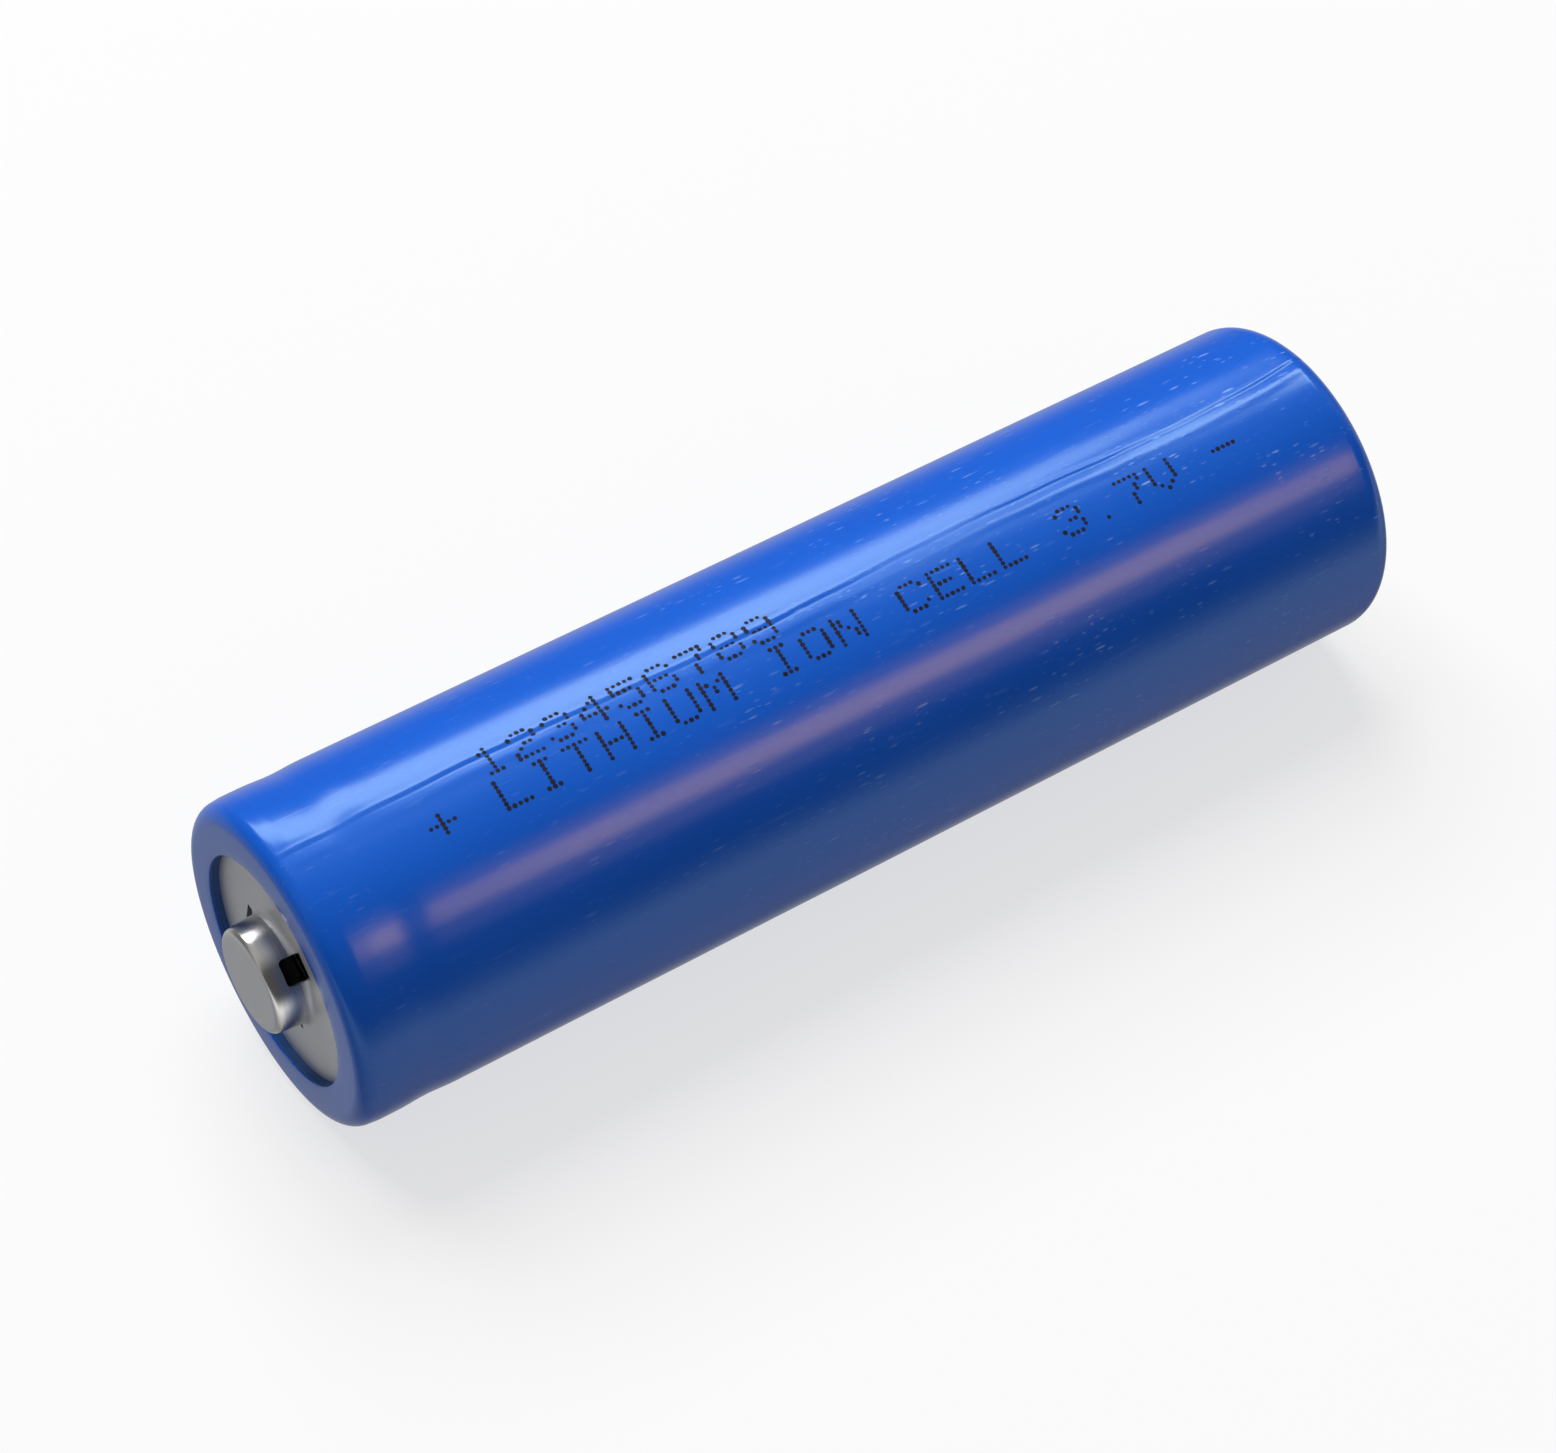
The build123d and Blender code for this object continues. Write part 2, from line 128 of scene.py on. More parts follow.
class Graph:
    """A node tree being built: node() adds any node, out() wraps a number output."""

    def __init__(self, tree):
        self.tree = tree

    def node(self, kind, settings=None, sockets=None):
        """Adds a node: its settings first, then the values or links of its sockets."""
        node = self.tree.nodes.new(kind)
        for name, value in (settings or {}).items():
            if name == "stops":
                ramp = node.color_ramp.elements
                while len(ramp) < len(value):
                    ramp.new(0.5)
                for element, (position, colour) in zip(ramp, value):
                    element.position = position
                    element.color = (*colour, 1.0)
            else:
                setattr(node, name, value)
        for name, value in (sockets or {}).items():
            socket = node.inputs[name]
            if isinstance(value, Value):
                value = value.socket
            if isinstance(value, bpy.types.NodeSocket):
                self.tree.links.new(value, socket)
            else:
                socket.default_value = value
        return node

    def out(self, node, name=0):
        """A node's number output, ready for arithmetic."""
        return Value(self, node.outputs[name])

    def parts(self, vector):
        """X, Y and Z of a vector socket, ready for arithmetic."""
        node = self.node("ShaderNodeSeparateXYZ", {}, {0: vector})
        return tuple(self.out(node, name) for name in "XYZ")

    def vector(self, x, y, z):
        """A vector socket from three numbers or number sockets."""
        node = self.node("ShaderNodeCombineXYZ", {}, {"X": x, "Y": y, "Z": z})
        return node.outputs[0]


class Finish(Graph):
    """A material for one of the cell's surfaces."""

    def __init__(self, name, **constants):
        self.material = bpy.data.materials.new(name)
        self.material.use_nodes = True
        super().__init__(self.material.node_tree)
        self.tree.nodes.clear()
        self.shader = self.node("ShaderNodeBsdfPrincipled")
        for socket, value in constants.items():
            self.shader.inputs[socket.replace("_", " ")].default_value = value
        self.node(
            "ShaderNodeOutputMaterial", {}, {"Surface": self.shader.outputs["BSDF"]}
        )
        self.place = self.node("ShaderNodeTexCoord").outputs["Object"]

    def axes(self):
        """X, Y and Z in metres, with X along the cell."""
        return self.parts(self.place)

    def stretched(self, along, across):
        """Object coordinates where one unit is a grain of these two lengths."""
        node = self.node(
            "ShaderNodeVectorMath",
            {"operation": "MULTIPLY"},
            {0: self.place, 1: (1 / along, 1 / across, 1 / across)},
        )
        return node.outputs[0]

    def grain(self, along, across=None, detail=2.0, rough=0.5):
        """Noise from 0 to 1 with grains of the given size in metres."""
        node = self.node(
            "ShaderNodeTexNoise",
            {"noise_dimensions": "3D"},
            {
                "Vector": self.stretched(along, across or along),
                "Scale": 1.0,
                "Detail": detail,
                "Roughness": rough,
            },
        )
        return self.out(node, "Fac")

    def lines(self, distance, pitch, detail):
        """Uneven lines from 0 to 1, side by side along a distance in metres."""
        node = self.node(
            "ShaderNodeTexNoise",
            {"noise_dimensions": "1D"},
            {"W": distance / pitch, "Scale": 1.0, "Detail": detail},
        )
        return self.out(node, "Fac")

    def flecks(self, along, across, share):
        """Scattered small marks: this share of the cells of a stretched pattern."""
        node = self.node(
            "ShaderNodeTexVoronoi",
            {"voronoi_dimensions": "3D", "feature": "F1"},
            {"Vector": self.stretched(along, across), "Scale": 1.0},
        )
        lot = self.node("ShaderNodeSeparateColor", {}, {0: node.outputs["Color"]})
        chosen = self.out(lot, "Red").rise(1 - share, 1 - share + 0.01)
        size = self.out(lot, "Green").between(0.22, 0.50)
        body = 1 - (self.out(node, "Distance") / size).rise(0.35, 1.0)
        return chosen * body

    def mix(self, factor, first, second):
        """Colour between two colours or colour sockets."""
        node = self.node(
            "ShaderNodeMix",
            {"data_type": "RGBA"},
            {"Factor": factor, 6: first, 7: second},
        )
        return node.outputs[2]

    def colour(self, socket):
        self.tree.links.new(socket, self.shader.inputs["Base Color"])

    def roughness(self, value):
        self.tree.links.new(value.socket, self.shader.inputs["Roughness"])

    def metallic(self, value):
        self.tree.links.new(value.socket, self.shader.inputs["Metallic"])

    def relief(self, height, depth):
        """Bump from a height of 0 to 1 over a depth in metres."""
        bump = self.node(
            "ShaderNodeBump", {}, {"Height": height, "Distance": depth, "Strength": 1.0}
        )
        self.tree.links.new(bump.outputs["Normal"], self.shader.inputs["Normal"])


def rgb(colour):
    """A colour with its alpha, for a colour socket."""
    return (colour[0], colour[1], colour[2], 1.0)


def shaded(colour, gain):
    """The same hue, lighter or darker."""
    return tuple(min(1.0, part * gain) for part in colour[:3]) + (1.0,)


def from_axis(y, z):
    """Distance from the line that y and z are measured from."""
    return (y * y + z * z).fine("SQRT")


# ------------------------------------------------------------------ finishes
def shrink_film(settings):
    """Glossy blue shrink film with drawn grain and small pale flecks along the cell: raised
    specks whose pale colour is partly a painted glint.
    """
    film = Finish("shrink_film", IOR=1.52, Specular_Tint=rgb(settings.gloss))
    x = film.axes()[0]
    cloud = film.grain(9 * MM, 5 * MM)
    drawn = film.grain(3.5 * MM, 0.35 * MM, detail=3.0)
    peel = film.grain(0.9 * MM, 0.5 * MM)
    flecks = film.flecks(1.10 * MM, 0.21 * MM, settings.fleck_share)
    dust_and_glints = film.flecks(0.60 * MM, 0.15 * MM, settings.fleck_share * 1.6)
    toward_foot = 1 - (x / FILM_HI.x).rise(0.05, 0.95)
    patchy = film.grain(6 * MM, 4 * MM).rise(0.36, 0.62)
    marks = (flecks + dust_and_glints * 0.6) * patchy * toward_foot.between(0.2, 1.0)
    body = film.mix(cloud, shaded(settings.film, 0.93), shaded(settings.film, 1.06))
    body = film.mix(drawn.rise(0.62, 0.85) * 0.10, body, rgb(settings.fleck_glint))
    # Painted glint: the raised flecks are lightened toward a pale colour that stands in for
    # their glints.
    film.colour(film.mix(marks * 0.40, body, rgb(settings.fleck_glint)))
    film.roughness(settings.roughness + (cloud - 0.5) * 0.06 + marks * 0.15)
    film.relief(peel * 0.6 + drawn * 0.35 + marks * 2.0, 0.0045 * MM)
    return film.material


def dot_ink(colour):
    """Black printing ink that has dried a little thinner in places."""
    ink = Finish("dot_ink", IOR=1.5, Specular_IOR_Level=0.25)
    patch = ink.grain(0.30 * MM)
    ink.colour(ink.mix(patch.rise(0.35, 0.75), rgb(colour), shaded(colour, 2.2)))
    ink.roughness(patch.between(0.50, 0.70))
    ink.relief(ink.grain(0.05 * MM), 0.002 * MM)
    return ink.material


def cap_plating(settings):
    """Satin nickel on the flange and the top, burnished on the drawn button wall."""
    plate = Finish("cap_plating")
    x, y, z = plate.axes()
    foot = CAP_LO.x + settings.sheet + settings.foot_round
    rim = settings.button_top_radius - settings.top_round / 2
    wall = from_axis(y, z).rise(rim, rim + 0.12 * MM)
    wall = wall * x.rise(foot - 0.10 * MM, foot + 0.10 * MM)
    fine = plate.grain(0.10 * MM, detail=4.0)
    cloud = plate.grain(1.6 * MM)
    # Faint marks that run round the wall, left by the drawing die.
    drawn = plate.lines(x, 0.09 * MM, 2.0)
    tone = plate.mix(
        cloud, shaded(settings.nickel, 0.93), shaded(settings.nickel, 1.05)
    )
    tone = plate.mix(wall, tone, rgb(settings.burnished))
    plate.colour(tone)
    satin = settings.satin + (fine - 0.5) * 0.10 + (cloud - 0.5) * 0.05
    polished = 0.17 + drawn * 0.10
    plate.roughness(satin + wall * (polished - satin))
    plate.metallic(wall.between(0.55, 1.0))
    height = fine * (1 - wall) + drawn * wall * 0.35
    plate.relief(height, 0.004 * MM)
    return plate.material


def can_plating(settings):
    """Nickel-plated deep-drawn steel, turned rings and two weld spots on its bottom."""
    plate = Finish("can_plating", Metallic=1.0)
    x, y, z = plate.axes()
    rings = plate.lines(from_axis(y, z), 0.16 * MM, 3.0)
    fine = plate.grain(0.12 * MM, detail=3.0)
    cloud = plate.grain(2.4 * MM)
    dimples = halos = 0.0
    for side in (-1, 1):
        away = from_axis(y - side * settings.weld_gap / 2, z)
        dimples = dimples + 1 - away.rise(0.35 * MM, 0.62 * MM)
        ring = away.rise(0.50 * MM, 0.80 * MM) * (1 - away.rise(0.80 * MM, 1.15 * MM))
        halos = halos + ring
    bottom = 1 - x.rise(0.2 * MM, 0.4 * MM)
    tone = plate.mix(
        cloud, shaded(settings.nickel, 0.92), shaded(settings.nickel, 1.05)
    )
    tint = halos * bottom * 0.35
    plate.colour(plate.mix(tint, tone, rgb(settings.weld_tint)))
    plate.roughness(
        settings.satin + (rings - 0.5) * 0.16 + (fine - 0.5) * 0.08 - tint * 0.2
    )
    plate.relief(rings * 0.16 + fine * 0.10 - dimples * bottom * 1.2, 0.030 * MM)
    return plate.material


def plain_metal(name, colour, rough, roll):
    """Sheet or wire metal with rolling lines along the cell."""
    metal = Finish(name, Metallic=1.0)
    lines = metal.grain(roll * 12, roll, detail=3.0)
    cloud = metal.grain(2.0 * MM)
    metal.colour(metal.mix(cloud, shaded(colour, 0.90), shaded(colour, 1.06)))
    metal.roughness(rough + (lines - 0.5) * 0.20)
    metal.relief(lines, 0.004 * MM)
    return metal.material


def moulded(name, colour, rough, grain_size, fleck_share=0.0, fleck_gain=1.6):
    """Plastic, paper, coating or film: uneven tone, fine grain and stray particles."""
    plastic = Finish(name, IOR=1.49)
    cloud = plastic.grain(grain_size * 18)
    fine = plastic.grain(grain_size, detail=4.0, rough=0.6)
    tone = plastic.mix(cloud, shaded(colour, 0.88), shaded(colour, 1.10))
    if fleck_share:
        stray = plastic.flecks(grain_size * 3, grain_size * 3, fleck_share)
        tone = plastic.mix(stray, tone, shaded(colour, fleck_gain))
    plastic.colour(tone)
    plastic.roughness(rough + (fine - 0.5) * 0.16)
    plastic.relief(fine, 0.006 * MM)
    return plastic.material


def studio_floor(colour, glow):
    """Pale translucent sweep, lit from below and faintly uneven."""
    floor = Finish("studio_floor", Roughness=0.9, Specular_IOR_Level=0.0)
    floor.shader.inputs["Emission Color"].default_value = (1.0, 1.0, 1.0, 1.0)
    floor.shader.inputs["Emission Strength"].default_value = glow
    cloud = floor.grain(400 * MM)
    floor.colour(floor.mix(cloud, shaded(colour, 0.99), rgb(colour)))
    return floor.material


# ------------------------------------------------------------------ mesh helpers
SHARP_EDGE = math.radians(32)


def rounded_outline(corners, step):
    """Points along (x, r, rounding) corners, with arcs at the roundings."""
    points = [Vector(corner[:2]) for corner in corners]
    outline = []
    for k, here in enumerate(points):
        before, after = points[k - 1], points[(k + 1) % len(points)]
        size = corners[k][2] if len(corners[k]) > 2 else 0.0
        if not size:
            outline.append(here)
            continue
        back, on = (before - here).normalized(), (after - here).normalized()
        half = math.acos(max(-1.0, min(1.0, back.dot(on)))) / 2
        reach = size / math.tan(half)
        centre = here + (back + on).normalized() * size / math.sin(half)
        first, last = here + back * reach - centre, here + on * reach - centre
        sweep = first.angle_signed(last)
        count = max(4, math.ceil(abs(sweep) * size / step))
        for i in range(count + 1):
            turn = -sweep * i / count
            cos_t, sin_t = math.cos(turn), math.sin(turn)
            x = first.x * cos_t - first.y * sin_t
            y = first.x * sin_t + first.y * cos_t
            outline.append(centre + Vector((x, y)))
    return outline


def divided(outline, step_at):
    """The closed outline with every run longer than step_at(x) split evenly."""
    dense = []
    for k, here in enumerate(outline):
        after = outline[(k + 1) % len(outline)]
        run = after - here
        if run.length < 1e-9:
            continue
        count = max(1, math.ceil(run.length / step_at((here.x + after.x) / 2)))
        dense.extend(here + run * i / count for i in range(count))
    return dense


def lathe(name, outline, turns, shape=None):
    """Mesh of a closed (x, r) outline turned about the cell's axis."""
    mesh = bmesh.new()
    rings = []
    for point in outline:
        if point.y < 1e-7:
            rings.append([mesh.verts.new((point.x, 0.0, 0.0))])
            continue
        ring = []
        for turn in turns:
            x, r, angle = point.x, point.y, turn
            if shape:
                x, r, angle = shape(x, r, angle)
            side = math.radians(angle)
            ring.append(mesh.verts.new((x, r * math.cos(side), r * math.sin(side))))
        rings.append(ring)
    for k, ring in enumerate(rings):
        following = rings[(k + 1) % len(rings)]
        for i in range(len(turns)):
            j = (i + 1) % len(turns)
            if len(ring) == 1 and len(following) == 1:
                break
            if len(ring) == 1:
                mesh.faces.new((ring[0], following[i], following[j]))
            elif len(following) == 1:
                mesh.faces.new((ring[i], following[0], ring[j]))
            else:
                mesh.faces.new((ring[i], following[i], following[j], ring[j]))
    bmesh.ops.recalc_face_normals(mesh, faces=mesh.faces)
    return finished(name, mesh)


def finished(name, mesh):
    """Object from a bmesh, smooth but for its sharp edges."""
    data = bpy.data.meshes.new(name)
    mesh.to_mesh(data)
    mesh.free()
    data.shade_smooth()
    data.set_sharp_from_angle(angle=SHARP_EDGE)
    piece = bpy.data.objects.new(name, data)
    bpy.context.scene.collection.objects.link(piece)
    return piece


def settled(piece, name):
    """Plain mesh object of what a piece's modifiers make; the first object goes."""
    graph = bpy.context.evaluated_depsgraph_get()
    data = bpy.data.meshes.new_from_object(piece.evaluated_get(graph))
    data.name = name
    old = piece.data
    bpy.data.objects.remove(piece)
    if old and old.users == 0:
        bpy.data.meshes.remove(old)
    plain = bpy.data.objects.new(name, data)
    bpy.context.scene.collection.objects.link(plain)
    return plain


def paint(piece, material):
    """Puts one finish in every material slot of a piece or a CAD node."""
    if not piece.material_slots:
        piece.data.materials.append(material)
    for slot in piece.material_slots:
        slot.link = "OBJECT"
        slot.material = material


def dressed(node, material):
    """Gives a CAD node its finish."""
    paint(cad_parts[node], material)


def swell(distance, width):
    """Smooth hump of height 1 and the given half width."""
    return math.exp(-((distance / width) ** 2))


# ------------------------------------------------------------------ settings
def length(name, default, description):
    """A size in metres."""
    return FloatProperty(
        name=name,
        default=default,
        description=description,
        unit="LENGTH",
        precision=5,
        min=0.0,
    )


def share(name, default, description):
    """A number from 0 to 1."""
    return FloatProperty(
        name=name,
        default=default,
        description=description,
        subtype="FACTOR",
        min=0.0,
        max=1.0,
    )


def brightness(name, default, description):
    """A strength of light."""
    return FloatProperty(name=name, default=default, description=description, min=0.0)


def bearing(name, degrees, description):
    """An angle, given in degrees."""
    return FloatProperty(
        name=name,
        default=math.radians(degrees),
        description=description,
        subtype="ANGLE",
    )


def colour(name, default, description):
    """A linear colour."""
    return FloatVectorProperty(
        name=name,
        default=default,
        description=description,
        subtype="COLOR",
        size=3,
        min=0.0,
        max=1.0,
    )


class SleeveSettings(bpy.types.PropertyGroup):
    """Sizes and colours of the shrink sleeve."""

    film: colour("Film", (0.003, 0.106, 0.640), "Colour of the shrink film")
    gloss: colour("Gloss", (0.62, 1.0, 0.97), "Tint of the film's gloss")
    # Pale colour of the flecks: partly their own, partly a painted glint.
    fleck_glint: colour("Flecks", (0.42, 0.62, 0.95), "Colour of the pale flecks in it")
    fleck_share: share("Fleck share", 0.12, "Part of the grain cells that hold a fleck")
    roughness: share("Roughness", 0.20, "Roughness of the film's gloss")
    lip: length("Positive lip", 6.45 * MM, "Radius of the hole round the cap")
    foot_lip: length("Negative lip", 7.40 * MM, "Radius of the hole at the can bottom")
    shoulder: length("Shoulder", 1.00 * MM, "Rounding at the positive rim")
    shoulder_run: length("Draw length", 1.50 * MM, "Length drawn in at that rim")
    shoulder_draw: length("Draw", 0.15 * MM, "How far it is drawn in")
    foot: length("Foot rounding", 1.35 * MM, "Rounding at the negative rim")
    waist: length("Waist", 61.25 * MM, "Middle of the dip over the rolled bead")
    waist_half: length("Waist half length", 1.70 * MM, "Half length of that dip")
    waist_depth: length("Waist depth", 0.07 * MM, "Depth of that dip")
    crease_turn: bearing("Crease angle", 84.7, "Place of the lay-flat crease")
    crease_height: length("Crease height", 0.034 * MM, "Height of the crease")
    waviness: length("Waviness", 0.006 * MM, "Unevenness of the shrunk film")


class PrintSettings(bpy.types.PropertyGroup):
    """The dotted ink print along the sleeve."""

    lower: StringProperty(
        name="Lower line",
        default="+ LITHIUM ION CELL 3.7V -",
        description="Polarity signs, kind of cell and nominal voltage",
    )
    upper: StringProperty(
        name="Upper line", default="123456789", description="Running digits"
    )
    ink: colour("Ink", (0.004, 0.006, 0.016), "Colour of the ink")
    lower_turn: bearing("Lower line angle", 70.1, "Middle of the lower line")
    upper_turn: bearing("Upper line angle", 83.2, "Middle of the upper line")
    start: length("Start", 56.77 * MM, "Middle of the lower line's first character")
    upper_start: length("Upper start", 52.80 * MM, "The same for the upper line")
    column: length("Column pitch", 0.3385 * MM, "Dot to dot along the cell")
    row: length("Row pitch", 0.256 * MM, "Dot to dot round the cell")
    dot: length("Dot radius", 0.138 * MM, "Radius of one ink dot")
    lift: length("Ink thickness", 0.006 * MM, "Height of the ink above the film")
    seed: IntProperty(name="Seed", default=7, description="Seed of the dots' sizes")


class CapSettings(bpy.types.PropertyGroup):
    """The stamped positive cap."""

    nickel: colour("Nickel", (0.62, 0.63, 0.66), "Colour of the satin plating")
    burnished: colour("Wall", (0.80, 0.78, 0.75), "Colour of the burnished wall")
    satin: share("Satin roughness", 0.46, "Roughness of the flange and the top")
    sheet: length("Sheet", 0.38 * MM, "Thickness of the stamping")
    button_radius: length("Button foot radius", 3.08 * MM, "Wall at the flange")
    button_top_radius: length("Button top radius", 2.90 * MM, "Wall at the top")
    foot_round: length("Foot rounding", 0.30 * MM, "Rounding at the wall's foot")
    top_round: length("Top rounding", 0.38 * MM, "Rounding at the wall's top")
    windows: IntProperty(
        name="Vent windows", default=3, min=1, max=6, description="Gas openings"
    )
    window_turn: bearing("First window", 44.0, "Middle of the first window")
    window_width: length("Window width", 1.50 * MM, "Width of one window")
    window_height: length("Window height", 1.00 * MM, "Height above the flange")
    window_round: length("Window rounding", 0.28 * MM, "Corner rounding")
    window_in: length("Window inner radius", 2.35 * MM, "Start of the cut")
    window_out: length("Window outer radius", 3.62 * MM, "End of the cut")


class CanSettings(bpy.types.PropertyGroup):
    """The drawn steel can."""

    nickel: colour("Nickel", (0.60, 0.59, 0.57), "Colour of the plating")
    weld_tint: colour("Weld tint", (0.36, 0.28, 0.20), "Heat tint round the weld spots")
    weld_gap: length("Weld spacing", 2.4 * MM, "Between the two weld spots")
    satin: share("Roughness", 0.32, "Roughness of the bare bottom")


class InsideSettings(bpy.types.PropertyGroup):
    """Colours of the seal, the safety stack and the winding."""

    gasket: colour("Gasket", (0.014, 0.085, 0.300), "Polypropylene gasket")
    washer: colour("Washer", (0.020, 0.090, 0.330), "Insulating ring")
    aluminium: colour("Aluminium", (0.78, 0.78, 0.79), "Vent disc, plate and tab")
    compound: colour("PTC compound", (0.035, 0.035, 0.04), "Polymer fuse ring")
    insulator: colour("Insulator", (0.80, 0.80, 0.76), "Insulating discs and cup")
    cathode: colour("Cathode", (0.035, 0.036, 0.042), "Cathode coating")
    anode: colour("Anode", (0.022, 0.022, 0.023), "Anode coating")
    separator: colour("Separator", (0.86, 0.86, 0.83), "Separator film")
    tape: colour("Tape", (0.46, 0.21, 0.035), "Adhesive tape")


class StageSettings(bpy.types.PropertyGroup):
    """Floor, lights and camera."""

    floor: colour("Floor", (0.27, 0.27, 0.27), "Colour of the floor")
    floor_glow: brightness("Floor glow", 0.68, "Brightness of the floor's own light")
    strip: brightness("Strip light", 5.7, "Brightness of the long soft strips")
    key: brightness("Key light", 5.2, "Brightness of the large light over the cell")
    room: brightness("Room light", 0.29, "Brightness of the surroundings")
    warm: colour("Warm card", (1.0, 0.35, 0.10), "Colour of the warm card")
    warm_level: brightness("Warm card level", 6.2, "Brightness of the warm card")
    azimuth: bearing("Camera azimuth", 55.974, "Camera's side, from +X toward +Y")
    elevation: bearing("Camera elevation", 46.652, "Camera's angle over the horizon")
    distance: length("Camera distance", 238.49 * MM, "From the aim point")
    lens: FloatProperty(
        name="Lens",
        default=103.7,
        unit="CAMERA",
        description="Focal length in millimetres",
    )
    aim: FloatVectorProperty(
        name="Aim",
        default=(34.57 * MM, -0.19 * MM, -0.47 * MM),
        subtype="TRANSLATION",
        size=3,
        description="Point that the camera looks at",
    )
    show_lights: BoolProperty(
        name="Lights in view",
        default=False,
        description="Whether the camera sees the light panels themselves",
    )


# ------------------------------------------------------------------ shrink sleeve
# Humps across the crease: share of its height, then place and half width round the
# cell in mm. A broad swell below the fold, a sharp step up across it, a slow fall
# above and a dip at its foot.
FOLD_HUMPS = (
    (1.00, -0.66, 0.33),
    (0.85, 0.17, 0.15),
    (0.55, 0.40, 0.55),
    (-0.35, -0.10, 0.10),
)
SECOND_CREASE = 0.55  # height of the far crease against the near one
# Slack film gathers in short pleats beside the crease on both sides of the bead:
# place along the cell and round it from the crease in mm, share of its height.
PLEATS = ((63.2, 0.55, 0.55), (62.6, -0.75, 0.45), (59.4, 0.6, 0.3))
PLEAT_HALF_LENGTH, PLEAT_HALF_WIDTH = 0.55 * MM, 0.45 * MM
# Columns of the film's mesh, in degrees: widths on the crease, beside it and far
# from it, and how far the first two reach.
CREASE_COLUMN, BESIDE_COLUMN, FAR_COLUMN = 0.17, 0.55, 3.4
CREASE_REACH, BESIDE_REACH = 2.2, 8.0
COLUMN_GROWTH = 1.3
CREASE_SPREAD = 24.0  # degrees of film that follow the crease's wander
SHOULDER_BLEND = 3.0 * MM  # rounding where the film starts to be drawn in
SIDE_FROM, SIDE_OVER = 7.6 * MM, 0.9 * MM  # relief fades out inward over the ends
LIP_UNEVEN, LIP_OVER = 0.035 * MM, 1.3 * MM
FOOT_UNEVEN, FOOT_OVER = 0.16 * MM, 1.0 * MM
FOOT_SHRINK = 0.35  # share of that unevenness that always draws the cut edge in


def crease_offset(x):
    """How far the crease wanders from its mean angle at a station, in degrees."""
    long_wave = 1.1 * math.sin(math.tau * (x - 46 * MM) / (31 * MM))
    short_wave = 0.14 * math.sin(math.tau * x / (5.3 * MM))
    foot_sweep = 4.5 * math.exp(-max(x, 0.0) / (7 * MM))
    return long_wave + short_wave + foot_sweep


def crease_columns(crease):
    """Angles of the film's columns: fine over both creases, coarse between them."""
    columns = []
    for side in (crease, crease + 180.0):
        offsets, step, reach = [0.0], CREASE_COLUMN, 0.0
        while reach < 90.0:
            if reach > BESIDE_REACH:
                step = min(FAR_COLUMN, step * COLUMN_GROWTH)
            elif reach > CREASE_REACH:
                step = BESIDE_COLUMN
            reach += step
            offsets.append(reach)
        offsets = [value * 90.0 / offsets[-1] for value in offsets]
        columns.extend(side + value for value in offsets[:-1])
        columns.extend(side - value for value in offsets[1:])
    return sorted(set(round(value % 360.0, 5) for value in columns))


def skin_noise(x, side, along, grains):
    """Noise on the film: grain length along the cell, and the cell's radius in grains."""
    return noise.noise(
        Vector((x / along, grains * math.cos(side), grains * math.sin(side)))
    )


def edge_noise(side, grains, layer):
    """Noise round a cut edge: the edge's radius in grains, and which pattern."""
    return noise.noise(Vector((grains * math.cos(side), grains * math.sin(side), layer)))


def fade(value, start, over):
    """0 up to start, then a straight rise to 1."""
    return min(1.0, max(0.0, (value - start) / over))


def film_relief(settings, x, turn_from_crease, angle, second):
    """Height of the film above its nominal radius at one spot."""
    arc = math.radians(turn_from_crease) * FILM_R
    height = settings.crease_height * (SECOND_CREASE if second else 1.0)
    in_waist = swell(x - settings.waist, 0.75 * MM)
    at_ends = swell(x - FILM_HI.x, 0.7 * MM) + swell(x - FILM_LO.x, 0.9 * MM)
    uneven = 0.75 + 0.25 * math.sin(math.tau * x / (17 * MM) + 1.1)
    fold = height * uneven * max(0.0, 1 - 0.75 * in_waist - 0.7 * at_ends)
    relief = sum(
        size * fold * swell(arc - place * MM, half * MM)
        for size, place, half in FOLD_HUMPS
    )
    for place, offset, size in PLEATS:
        pleat = swell(x - place * MM, PLEAT_HALF_LENGTH)
        relief += height * size * pleat * swell(arc - offset * MM, PLEAT_HALF_WIDTH)
    side = math.radians(angle)
    broad = skin_noise(x, side, 7 * MM, 2.4)
    fine = skin_noise(x, side, 2.2 * MM, 7)
    return relief + settings.waviness * (broad + 0.18 * fine)


def film_outline(settings):
    """Closed outline of the film: outside from the foot to the lip, then inside back."""
    shoulder_x = FILM_HI.x - settings.shoulder_run
    end_r = FILM_R - settings.shoulder_draw
    lip_ease = FILM_T * 0.35
    outside = [
        (FILM_LO.x, settings.foot_lip, lip_ease),
        (FILM_LO.x, FILM_R, settings.foot),
        (shoulder_x, FILM_R, SHOULDER_BLEND),
        (FILM_HI.x, end_r, settings.shoulder),
        (FILM_HI.x, settings.lip, lip_ease),
    ]
    inside = [
        (FILM_HI.x - FILM_T, settings.lip, lip_ease),
        (FILM_HI.x - FILM_T, end_r - FILM_T, settings.shoulder - FILM_T),
        (shoulder_x, FILM_R - FILM_T, SHOULDER_BLEND - FILM_T),
        (FILM_LO.x + FILM_T, FILM_R - FILM_T, settings.foot - FILM_T),
        (FILM_LO.x + FILM_T, settings.foot_lip, lip_ease),
    ]

    def step_at(x):
        beside_waist = abs(x - settings.waist) < settings.waist_half + 0.5 * MM
        return 0.14 * MM if beside_waist else 0.55 * MM

    return divided(rounded_outline(outside + inside, 0.12 * MM), step_at)


